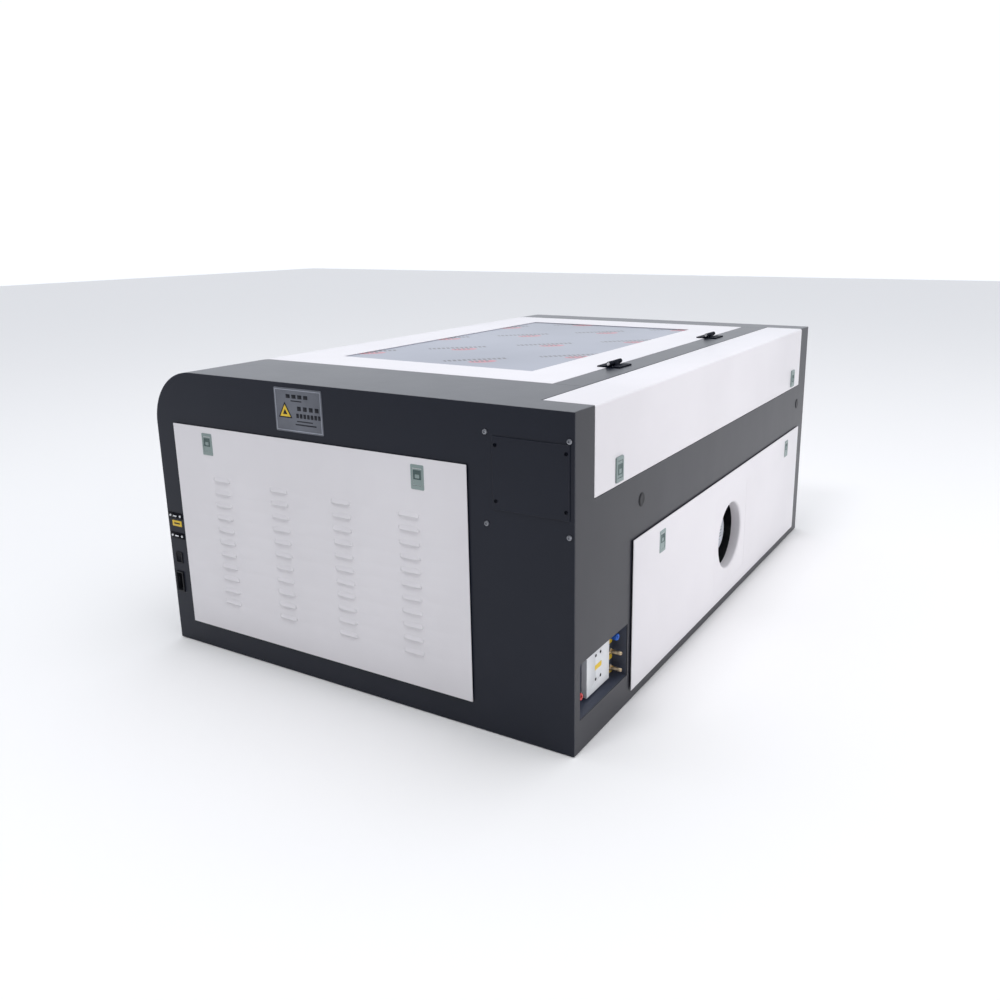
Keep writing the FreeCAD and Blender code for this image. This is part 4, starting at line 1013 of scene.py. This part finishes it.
@dataclass
class SidePorts:
    """Ports, rocker switch and power inlet low on the right side."""

    jack_reach: float = 14 * MM
    label_up: float = 0.2558
    label_shift: float = 1.7 * MM
    pin: Outline = Outline(2 * MM, 6 * MM, 0.4 * MM)
    pin_spots: Profile = steps((0, 0), (3.5, 9), (3.5, -9))
    bezel: Outline = Outline(19 * MM, 24 * MM, 1.5 * MM)
    bezel_profile: Profile = steps((0, 0), (0, 1.4), (0.5, 2), (2.2, 2), (2.4, 0.05))

    def ports(self) -> None:
        """Two connector plates with jack screws and a tongue, and a plain yellow label between."""
        low, high = corners("data_ports")
        face, y = low[0], (low[1] + high[1]) / 2
        shells, tongues, dashes, screws = [], [], [], []
        for z in (high[2] - 6.5 * MM, low[2] + 6.5 * MM):
            shells.append(pad(Outline(40 * MM, 13 * MM, 2 * MM), 1.2 * MM, Side.RIGHT, (face, y, z)))
            tongues.append(pad(Outline(18 * MM, 8 * MM, 2.5 * MM), 2.8 * MM, Side.RIGHT, (face, y, z)))
            dashes.append(pad(Outline(11 * MM, 2.6 * MM, 1 * MM), 0.2 * MM, Side.RIGHT,
                                (face + 2.75 * MM, y, z), 0.1 * MM))
            for off in (-self.jack_reach, self.jack_reach):
                screws.append(pad(circle(2.4 * MM, 4), 2.6 * MM, Side.RIGHT, (face, y + off, z), 0.6 * MM))
        plate = mesh_piece("port_plates", *merged(shells), "frame", Finish.GLOSS_BLACK, "silver_plate")
        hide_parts("data_ports")
        mesh_piece("port_tongues", *merged(tongues), "frame", Finish.GLOSS_BLACK, "silver_plate")
        mesh_piece("port_contacts", *merged(dashes), "frame", Finish.LABEL_WHITE, "silver_plate")
        mesh_piece("port_screws", *merged(screws), "frame", Finish.LABEL_WHITE, "silver_plate")
        slab_piece("port_label", Side.RIGHT, (face, y + self.label_shift, self.label_up),
                   (27 * MM, 12 * MM, 0.4 * MM), "frame", Finish.YELLOW, "silver_plate", 1 * MM, 0.1 * MM)
        slab_piece("port_label_bar", Side.RIGHT, (face + 0.35 * MM, y + self.label_shift, self.label_up),
                   (17 * MM, 3 * MM, 0.2 * MM), "frame", Finish.INK, "silver_plate", 0.5 * MM, 0.1 * MM)

    def inlet(self) -> None:
        """The inlet's moulded well with three flat pins."""
        refined("power_inlet", "frame", Finish.BLACK, 0.8 * MM)
        low, high = corners("power_inlet")
        y, z = (low[1] + high[1]) / 2, (low[2] + high[2]) / 2
        pins = [pad(self.pin, 16 * MM, Side.RIGHT,
                      (low[0] + 3 * MM, y + along, z + up)) for along, up in self.pin_spots]
        mesh_piece("inlet_pins", *merged(pins), "frame", Finish.STEEL, "black_plastic")

    def rocker(self) -> None:
        """The rocker: its face dips along a shallow curve, within a thin bezel."""
        low, high = corners("rocker_switch")
        spot = (low + high) / 2
        u = np.linspace(-1, 1, 9)
        z = spot[2] + u * (high[2] - low[2]) / 2
        out = high[0] - 1.6 * MM * (1 - u ** 2) - 0.6 * MM * (1 + u) / 2
        ys = np.array([low[1], low[1] + 0.5 * MM, high[1] - 0.5 * MM, high[1]])
        drop = np.array([0.5, 0, 0, 0.5])[:, None] * MM
        front = np.stack(np.broadcast_arrays(out[None, :] - drop, ys[:, None], z[None, :]), -1)
        back = front.copy()
        back[..., 0] = low[0]
        grid = np.arange(4 * 9).reshape(4, 9)
        faces = band_faces(*grid.shape, False)
        faces += [face[::-1] for face in band_faces(*grid.shape, False, grid.size)]
        rim = np.concatenate([grid[0], grid[1:, -1], grid[-1, -2::-1], grid[-2:0:-1, 0]])
        after = np.roll(rim, -1)
        faces += np.stack([rim, rim + grid.size, after + grid.size, after], -1).tolist()
        piece = mesh_piece("rocker_cap", np.concatenate([front.reshape(-1, 3), back.reshape(-1, 3)]), faces,
                           "rocker_switch", Finish.GLOSS_BLACK, "black_plastic")
        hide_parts("rocker_switch")
        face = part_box("right_side_wall")[1][0]
        shape = stack(self.bezel, self.bezel_profile, Side.RIGHT, (face, spot[1], spot[2]))
        mesh_piece("rocker_bezel", shape[0], shape[1][:-2], "frame", Finish.BLACK, "black_plastic")

    def build(self) -> None:
        """All three."""
        self.ports()
        self.inlet()
        self.rocker()


@dataclass
class ConnectorRecess:
    """The recess with the socket plate, hose barbs, air fittings and earth terminal."""

    contact_spots: Profile = steps((-9, -22), (-9, 22), (9, -22), (9, 22))
    tag_across: float = 0.480
    tag_heights: tuple[float, ...] = (0.121, 0.090, 0.0635)
    barb_foot: Profile = steps((0.5, 0), (0.5, 8))
    barb_mouth: Profile = steps((1.4, 27), (2.2, 27), (2.4, 12))
    fitting: Profile = steps((0.6, 0), (0.6, 11), (0, 12), (0, 18.5), (1.2, 20), (2.8, 20), (4.4, 19), (4.4, 10))

    def build(self) -> None:
        """Refines the recess and fills it."""
        refined("connector_recess", "frame", Finish.RECESS, 0.5 * MM)
        refined("socket_plate", "frame", Finish.SOCKET, 0.8 * MM)
        low, high = corners("socket_plate")
        back = low[1]
        spot = (low + high) / 2
        slab_piece("socket_label", Side.REAR, (spot[0], high[1], spot[2]), (25 * MM, 9 * MM, 0.3 * MM), "frame",
                   Finish.YELLOW, "socket_white", 1 * MM, 0.1 * MM)
        # Black discs barely proud of the plate stand for the contact holes: painted shade where the holes go in.
        holes = [stack(circle(3 * MM, 4), steps((0, -0.5), (0, 0.1), (0.3, 0.2)), Side.REAR,
                       (spot[0] + along, high[1], spot[2] + up)) for along, up in self.contact_spots]
        mesh_piece("socket_contacts", *merged(holes), "frame", Finish.GLOSS_BLACK, "socket_white")
        self.barbs(back)
        self.fittings(back)
        tags = [pad(Outline(18 * MM, 9 * MM, 0.6 * MM), 0.8 * MM, Side.REAR, (self.tag_across, back, z), 0.1 * MM)
                for z in self.tag_heights]
        mesh_piece("recess_tags", *merged(tags), "frame", Finish.YELLOW, "white_paint")

    def barbs(self, back: float) -> None:
        """Hex nuts and barbed stems: cones that step back three times."""
        low, high = corners("water_barbs")
        x = (low[0] + high[0]) / 2
        radius = 4 * MM
        profile = [*self.barb_foot]
        for index in range(3):
            profile += [(0, 9 * MM + index * 6 * MM), (0.6 * MM, 14 * MM + index * 6 * MM)]
        profile += self.barb_mouth
        shapes = []
        for z in (low[2] + 6.5 * MM, high[2] - 6.5 * MM):
            shapes.append(stack(circle(radius, 6), profile, Side.REAR, (x, back, z)))
            shapes.append(pad(circle(6.5 * MM, 2), 7 * MM, Side.REAR, (x, back, z), 0.7 * MM))
        piece = mesh_piece("barb_fittings", *merged(shapes), "frame", Finish.BRASS, "brass")
        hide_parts("water_barbs")

    def fittings(self, back: float) -> None:
        """Push-in fittings with a collar and a bore, and the earth post with its knob."""
        for node, finish, slot in (("air_fitting_blue", Finish.BLUE, "blue_plastic"),
                                   ("air_fitting_red", Finish.RED, "red_plastic")):
            spot = middle(node)
            shape = stack(circle(6.5 * MM, 6), self.fitting, Side.REAR, (spot[0], back, spot[2]))
            piece = mesh_piece(node + "_body", *shape, "frame", finish, slot)
            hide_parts(node)
        spot = middle("earth_terminal")
        knob = stack(circle(6.5 * MM, 4), steps((0, 0), (0, 8.5), (1, 10), (3.4, 10)), Side.REAR,
                     (spot[0], back, spot[2]))
        piece = mesh_piece("earth_knob", *knob, "frame", Finish.BLACK, "black_plastic")
        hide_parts("earth_terminal")
        post = pad(circle(3 * MM, 4), 18 * MM, Side.REAR, (spot[0], back, spot[2]), 1 * MM)
        mesh_piece("earth_post", *post, "frame", Finish.STEEL, "black_plastic")


@dataclass
class Fan:
    """The extraction fan behind the exhaust port."""

    blades: int = 7
    hub: float = 43 * MM
    tip: float = 75.5 * MM
    blade_thick: float = 1.6 * MM
    chord: float = 40.0
    lean: float = 10.0
    bars: Profile = steps((22, 22), (34, 16), (48, 9), (52, 2), (44, -5), (50, -12), (30, -19))

    def build(self) -> None:
        """Frame from the CAD, a domed hub with a plain label, and twisted blades."""
        refined("fan_frame", "frame", Finish.BLACK, 0.8 * MM)
        low, high = corners("fan_rotor")
        x, z = RearPanel().centre
        foot, top = low[1], high[1]
        profile = [(0, 0), (0, top - foot - 2 * MM), (0.6 * MM, top - foot - 0.6 * MM), (2 * MM, top - foot),
                   (10 * MM, top - foot)]
        hub = mesh_piece("fan_hub", *stack(circle(self.hub, 12), profile, Side.REAR, (x, foot, z)), "fan_rotor",
                         Finish.BLACK, "black_plastic")
        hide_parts("fan_rotor")
        label = stack(circle(self.hub - 2.5 * MM, 12), steps((0, -0.4), (0, 0), (0.3, 0.05)), Side.REAR,
                      (x, top, z))
        mesh_piece("fan_hub_label", *label, "fan_rotor", Finish.FAN_LABEL, "black_plastic")
        bars = [stack(Outline(wide, 2.2 * MM, 0.3 * MM), steps((0, 0), (0, 0.1)), Side.REAR, (x, top, z + up))
                for wide, up in self.bars]
        mesh_piece("fan_hub_bars", *merged(bars), "fan_rotor", Finish.LABEL_GREY, "black_plastic")
        self.blade_set(x, z, foot, top)

    def blade_set(self, x: float, z: float, foot: float, top: float) -> None:
        """Blades: at chord place c the angle is c times the chord, leaning outwards, and the depth runs with c."""
        r = np.linspace(self.hub - 2 * MM, self.tip, 9)[:, None]
        c = np.linspace(-0.5, 0.5, 7)[None, :]
        share = (r - self.hub) / (self.tip - self.hub)
        sweep = np.radians(self.chord) * c + np.radians(self.lean) * share
        depth = (foot + top) / 2 - c * (top - foot - 8 * MM) * (1 - 0.25 * share) + 1.5 * MM * np.cos(c * math.pi)
        turn = np.arange(self.blades)[:, None, None] * (2 * math.pi / self.blades)
        angle = sweep[None] + turn
        points = np.stack([x + r * np.cos(angle), np.broadcast_to(depth, angle.shape), z + r * np.sin(angle)], -1)
        faces = np.array(band_faces(9, 7, False))[None] + (np.arange(self.blades) * 63)[:, None, None]
        piece = mesh_piece("fan_blades", points, faces.reshape(-1, 4).tolist(), "fan_rotor", Finish.BLACK,
                           "black_plastic")
        thicken(piece, self.blade_thick, offset=0.0)


@dataclass
class Lid:
    """The lid with its filmed window, seal, handle and hinges."""

    def build(self) -> None:
        """Rounds the frame, dresses the window and turns the hinges."""
        refined("lid_frame", "lid", Finish.WHITE, 0.8 * MM)
        dress("lid_window", Finish.FILM)
        refined("lid_handle", "lid", Finish.BLACK, 3 * MM)
        refined("hinge_lid_leaves", "lid", Finish.HINGE, 0.4 * MM)
        refined("hinge_deck_leaves", "frame", Finish.HINGE, 0.4 * MM)
        low, high = corners("hinge_lid_leaves")
        pin_y, pin_z = high[1] - 4.5 * MM, high[2] - 4.5 * MM
        ends = [pad(circle(3.4 * MM, 5), 1.2 * MM, side, (x, pin_y, pin_z), 0.6 * MM)
                for x, side in ((high[0], Side.RIGHT), (high[0] - 54 * MM, Side.LEFT), (low[0] + 54 * MM, Side.RIGHT),
                                (low[0], Side.LEFT))]
        mesh_piece("hinge_pin_ends", *merged(ends), "lid", Finish.STEEL, "black_metal")


@dataclass
class Motion:
    """Rails, gantry, head, lens and lifting table."""

    cell: float = 11 * MM
    screw_spots: Profile = steps((-20, -12), (-20, -44), (20, -12), (20, -44))
    barrel: Profile = steps((8, 0), (7.4, 1), (0.2, 20), (0, 22), (0, 26), (0.8, 26.5), (0.8, 29), (0, 29.5),
                            (0, 104), (1, 105))

    def honeycomb(self) -> None:
        """Hexagon walls on a staggered grid: each cell gives three of its upright walls."""
        low, high = corners("honeycomb_bed")
        step_y = self.cell * math.sqrt(3) / 2
        columns = int((high[0] - low[0] - 30 * MM) / self.cell)
        rows = int((high[1] - low[1] - 30 * MM) / step_y)
        row, column = np.meshgrid(np.arange(rows), np.arange(columns), indexing="ij")
        x = low[0] + 20 * MM + (column + 0.5 * (row % 2)) * self.cell
        y = low[1] + 18 * MM + row * step_y
        angle = np.radians(30 + 60 * np.arange(4))
        radius = self.cell / math.sqrt(3)
        wall_x = x[..., None] + radius * np.cos(angle)
        wall_y = y[..., None] + radius * np.sin(angle)
        heights = np.array([high[2] - 6 * MM, high[2]])
        points = np.stack(np.broadcast_arrays(wall_x[..., None], wall_y[..., None], heights), -1)
        count = rows * columns
        faces = np.array(band_faces(4, 2, False))[None] + (np.arange(count) * 8)[:, None, None]
        piece = mesh_piece("honeycomb_cells", points, faces.reshape(-1, 4).tolist(), "table", Finish.HONEYCOMB,
                           "aluminium", False)
        wall = piece.modifiers.new("foil", "SOLIDIFY")
        wall.thickness = 0.25 * MM
        rim = Outline(high[0] - low[0], high[1] - low[1], 2 * MM)
        profile = steps((0, 0), (0, 19.4), (0.6, 20), (11.4, 20), (12, 19.4), (12, 12))
        spot = (low + high) / 2
        bed = mesh_piece("honeycomb_rim", *stack(rim, profile, Side.TOP, (spot[0], spot[1], low[2])), "table",
                         Finish.ALUMINIUM, "aluminium")
        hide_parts("honeycomb_bed")

    def head(self) -> None:
        """The head's block, its round mirror cap, its four screws, and the lens tube with its ring."""
        refined("laser_head", "head", Finish.ALUMINIUM, 1 * MM)
        low, high = corners("laser_head")
        x = (low[0] + high[0]) / 2
        discs = [pad(circle(13 * MM, 8), 4 * MM, Side.FRONT, (x, low[1], high[2] - 24 * MM), 0.8 * MM)]
        for along, up in self.screw_spots:
            discs.append(pad(circle(3 * MM, 5), 3 * MM, Side.FRONT, (x + along, low[1], high[2] + up), 0.6 * MM))
        mesh_piece("head_mirror_cap", *merged(discs), "head", Finish.GLOSS_BLACK, "aluminium")
        foot, top = corners("lens_tube")
        shape = stack(circle(12 * MM, 10), self.barrel, Side.TOP, (x, (foot[1] + top[1]) / 2, foot[2]))
        piece = mesh_piece("lens_barrel", *shape, "lens", Finish.ALUMINIUM, "aluminium")
        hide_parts("lens_tube")

    def build(self) -> None:
        """Dresses the rails and builds the rest."""
        dress("y_rails", Finish.STEEL)
        refined("gantry_beam", "gantry", Finish.ALUMINIUM, 0.8 * MM)
        refined("work_table", "table", Finish.ALUMINIUM, 0.8 * MM)
        dress("lift_screws", Finish.STEEL)
        low, high = corners("gantry_beam")
        rail = (high[0] - low[0]) - 60 * MM
        slab_piece("gantry_rail", Side.TOP, ((low[0] + high[0]) / 2, (low[1] + high[1]) / 2, high[2] - 0.2 * MM),
                   (rail, 12 * MM, 6 * MM), "gantry", Finish.STEEL, "aluminium")
        slab_piece("gantry_belt", Side.TOP, ((low[0] + high[0]) / 2, (low[1] + high[1]) / 2 + 11 * MM, high[2]),
                   (rail, 6 * MM, 1.5 * MM), "gantry", Finish.RUBBER, "aluminium")
        self.honeycomb()
        self.head()


@dataclass
class Inside:
    """Chamber walls, the laser tube and the electronics."""

    neck: Profile = steps((25.8, 0), (25.8, 44))
    grille: tuple[float, ...] = (38, 30, 22, 14)
    ring: Profile = steps((0, 0), (0, 1.6), (0.4, 2), (1.6, 2), (2, 1.6), (2, 0.2))

    def tube(self) -> None:
        """Glass jacket with rounded shoulders, metal end caps and the bore inside."""
        low, high = corners("laser_tube")
        y, z = (low[1] + high[1]) / 2, (low[2] + high[2]) / 2
        long, radius = high[0] - low[0], 39.8 * MM
        turn = np.linspace(0, math.pi / 2, 6)
        ball = 18 * MM
        shoulders = [(ball * (1 - math.sin(a)), 45 * MM + ball * (1 - math.cos(a))) for a in turn]
        profile = [*self.neck, *shoulders]
        profile += [(inset, long - height) for inset, height in profile[::-1]]
        piece = mesh_piece("tube_jacket", *stack(circle(radius, 12), profile, Side.RIGHT, (low[0], y, z)), "frame",
                           Finish.GLASS, "glass")
        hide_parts("laser_tube")
        core = stack(circle(9 * MM, 6), [(0, 20 * MM), (0, long - 20 * MM)], Side.RIGHT, (low[0], y, z))
        mesh_piece("tube_bore", *core, "frame", Finish.CORE, "glass")
        caps = [pad(circle(15.5 * MM, 8), 16 * MM, Side.RIGHT, (low[0], y, z), 2 * MM),
                pad(circle(15.5 * MM, 8), 16 * MM, Side.RIGHT, (high[0] - 16 * MM, y, z), 2 * MM)]
        mesh_piece("tube_end_caps", *merged(caps), "frame", Finish.STEEL, "glass")

    def electronics(self) -> None:
        """Power supply with a fan grille and terminals, controller with connector rows, and the stepping motor."""
        refined("laser_power_supply", "frame", Finish.ZINC, 1 * MM)
        refined("motion_controller", "frame", Finish.BLACK, 1.5 * MM)
        refined("y_motor", "frame", Finish.GLOSS_BLACK, 1.5 * MM)
        low, high = corners("laser_power_supply")
        grille = [stack(circle(radius * MM, 8), self.ring, Side.RIGHT,
                        (high[0], (low[1] + high[1]) / 2, (low[2] + high[2]) / 2)) for radius in self.grille]
        mesh_piece("supply_grille", *merged(grille), "frame", Finish.STEEL, "zinc_sheet")
        low, high = corners("motion_controller")
        rows = [pad(Outline(12 * MM, 8 * MM, 0.8 * MM), 7 * MM, Side.RIGHT,
                      (high[0], low[1] + 16 * MM + column * 15 * MM, z), 0.5 * MM)
                for column in range(10) for z in (low[2] + 18 * MM, high[2] - 18 * MM)]
        mesh_piece("controller_terminals", *merged(rows), "frame", Finish.GREEN, "black_plastic")

    def build(self) -> None:
        """All of the inside."""
        for node in ("chamber_walls", "chamber_rear_wall", "tube_bay_tray"):
            dress(node, Finish.INNER)
        refined("tube_clamps", "frame", Finish.BLACK, 1 * MM)
        refined("fixed_mirror", "frame", Finish.ALUMINIUM, 1 * MM)
        self.tube()
        self.electronics()


@dataclass
class FrontControls:
    """The control panel, its screen, emergency stop and key, and the front door.

    A block on the screen is its width, height, place across and height up, in millimetres.
    """

    blocks: tuple[tuple[float, ...], ...] = ((70, 44, -20, 4), (28, 8, 40, 22), (28, 8, 40, 10),
                                             (28, 8, 40, -2), (28, 8, 40, -14), (112, 5, 0, -27))
    stop: Profile = steps((7, -14), (7, 9.4), (0.8, 10), (0, 11), (0, 14), (1.5, 17), (4, 19), (9, 20), (14, 20))
    collar: Profile = steps((0, 0), (0, 0.8), (0.4, 1.2), (12, 1.2), (12.4, 0))

    def build(self) -> None:
        """Panel, screen with plain blocks, mushroom head, key and door."""
        refined("control_panel", "frame", Finish.BLACK, 1 * MM)
        refined("screen", "frame", Finish.SCREEN, 0.4 * MM)
        low, high = corners("screen")
        spot = (low + high) / 2
        blocks = [stack(Outline(w * MM, t * MM, 1 * MM), steps((0, 0), (0, 0.12)), Side.FRONT,
                        (spot[0] + dx * MM, low[1], spot[2] + dz * MM))
                  for w, t, dx, dz in self.blocks]
        mesh_piece("screen_blocks", *merged(blocks), "frame", Finish.RECESS, "screen_glass")
        self.knobs()
        refined("front_door", "front_door", Finish.WHITE, 0.7 * MM)

    def knobs(self) -> None:
        """A domed mushroom head on its stem with a yellow collar, and a key in its lock."""
        low, high = corners("emergency_stop")
        x, z = (low[0] + high[0]) / 2, (low[2] + high[2]) / 2
        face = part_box("control_panel")[0][1]
        cap = mesh_piece("stop_head", *stack(circle(17 * MM, 10), self.stop, Side.FRONT, (x, face, z)),
                         "emergency_stop", Finish.RED, "stop_red")
        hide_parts("emergency_stop")
        points, faces = stack(circle(23 * MM, 12), self.collar, Side.FRONT, (x, face, z))
        mesh_piece("stop_collar", points, faces[:-2], "frame", Finish.YELLOW, "graphite_paint")
        refined("key_switch", "key_switch", Finish.STEEL, 0.5 * MM)


# ---------------------------------------------------------------- studio


@dataclass
class Studio:
    """Pale floor, soft lights and the camera."""

    place: tuple[float, float, float] = (1.83116, 1.08272, 0.83011)
    right: tuple[float, float, float] = (-0.50199, 0.86484, -0.00799)
    above: tuple[float, float, float] = (-0.22506, -0.12171, 0.96671)
    back: tuple[float, float, float] = (0.83508, 0.48708, 0.25574)
    lens: float = 32.889
    shift: tuple[float, float] = (-0.03743, -0.02966)

    def camera(self) -> None:
        """The camera, with its axes as given."""
        data = bpy.data.cameras.new("camera")
        data.lens, data.sensor_width = self.lens, 36.0
        data.shift_x, data.shift_y = self.shift
        data.clip_start, data.clip_end = 0.05, 60.0
        camera = bpy.data.objects.new("camera", data)
        turn = Matrix([self.right, self.above, self.back]).transposed().to_4x4()
        camera.matrix_world = Matrix.Translation(self.place) @ turn
        bpy.context.scene.collection.objects.link(camera)
        bpy.context.scene.camera = camera

    def lamp(self, name: str, spot: tuple, size: tuple[float, float], power: float, tint: Colour) -> None:
        """An area light at spot, looking at the machine."""
        data = bpy.data.lights.new(name, "AREA")
        data.shape, data.size, data.size_y, data.energy = "RECTANGLE", size[0], size[1], power
        data.color = tint
        lamp = bpy.data.objects.new(name, data)
        lamp.location = spot
        lamp.rotation_mode = "QUATERNION"
        lamp.rotation_quaternion = (Vector((0, 0, 0.3)) - Vector(spot)).to_track_quat("-Z", "Y")
        bpy.context.scene.collection.objects.link(lamp)

    def floor(self) -> None:
        """A wide plain floor."""
        graph = Graph("studio_floor")
        graph.set(Base_Color=(0.97, 0.96, 0.95), Roughness=0.9)
        mesh = bpy.data.meshes.new("studio_floor")
        reach = 14.0
        mesh.from_pydata([(-reach, -reach, 0), (reach, -reach, 0), (reach, reach, 0), (-reach, reach, 0)], [],
                         [(0, 1, 2, 3)])
        mesh.materials.append(graph.material)
        floor = bpy.data.objects.new("studio_floor", mesh)
        bpy.context.scene.collection.objects.link(floor)

    def build(self) -> None:
        """Everything that isn't the machine."""
        self.camera()
        self.floor()
        self.lamp("top_light", (2.2, 0.1, 4.0), (0.9, 0.9), 41.0, (0.95, 0.97, 1.0))
        self.lamp("ceiling_light", (0.4, 0.6, 5.2), (4.0, 4.0), 34.0, (1.0, 0.99, 0.98))
        self.lamp("rear_light", (-0.6, 4.4, 1.9), (3.4, 2.2), 30.0, (1.0, 0.93, 0.90))
        self.sky()

    def sky(self) -> None:
        """A pale sky that dims smoothly towards the operator's right."""
        world = bpy.data.worlds.new("studio")
        world.use_nodes = True
        nodes, links = world.node_tree.nodes, world.node_tree.links
        toward = nodes.new("ShaderNodeSeparateXYZ")
        links.new(nodes.new("ShaderNodeTexCoord").outputs["Generated"], toward.inputs[0])
        fade = nodes.new("ShaderNodeMapRange")
        fade.interpolation_type = "SMOOTHSTEP"
        links.new(toward.outputs[0], fade.inputs[0])
        for socket, value in zip((1, 2, 3, 4), (-0.35, 0.85, 1.12, 0.26)):
            fade.inputs[socket].default_value = value
        background = nodes["Background"]
        background.inputs[0].default_value = (0.90, 0.93, 0.99, 1.0)
        links.new(fade.outputs[0], background.inputs[1])
        bpy.context.scene.world = world
        bpy.context.scene.view_settings.view_transform = "Standard"


def main() -> None:
    """Builds every sub-assembly in order."""
    logging.basicConfig(level=logging.INFO, format="%(message)s")
    parts = [Studio(), Shell(), Lid(), TubeCover(), RearPanel(), LouvredPanel(Side.RIGHT, "right_panel"),
             LouvredPanel(Side.LEFT, "left_panel"), DataPlate(), SidePorts(), ConnectorRecess(), Fan(), Motion(),
             Inside(), FrontControls()]
    for part in parts:
        known = set(bpy.data.objects.keys())
        part.build()
        for name in sorted(set(bpy.data.objects.keys()) - known):
            size = bpy.data.objects[name].dimensions
            LOG.info("%s: %s, %.3f x %.3f x %.3f m", type(part).__name__, name, *size)


if __name__ == "__main__":
    main()
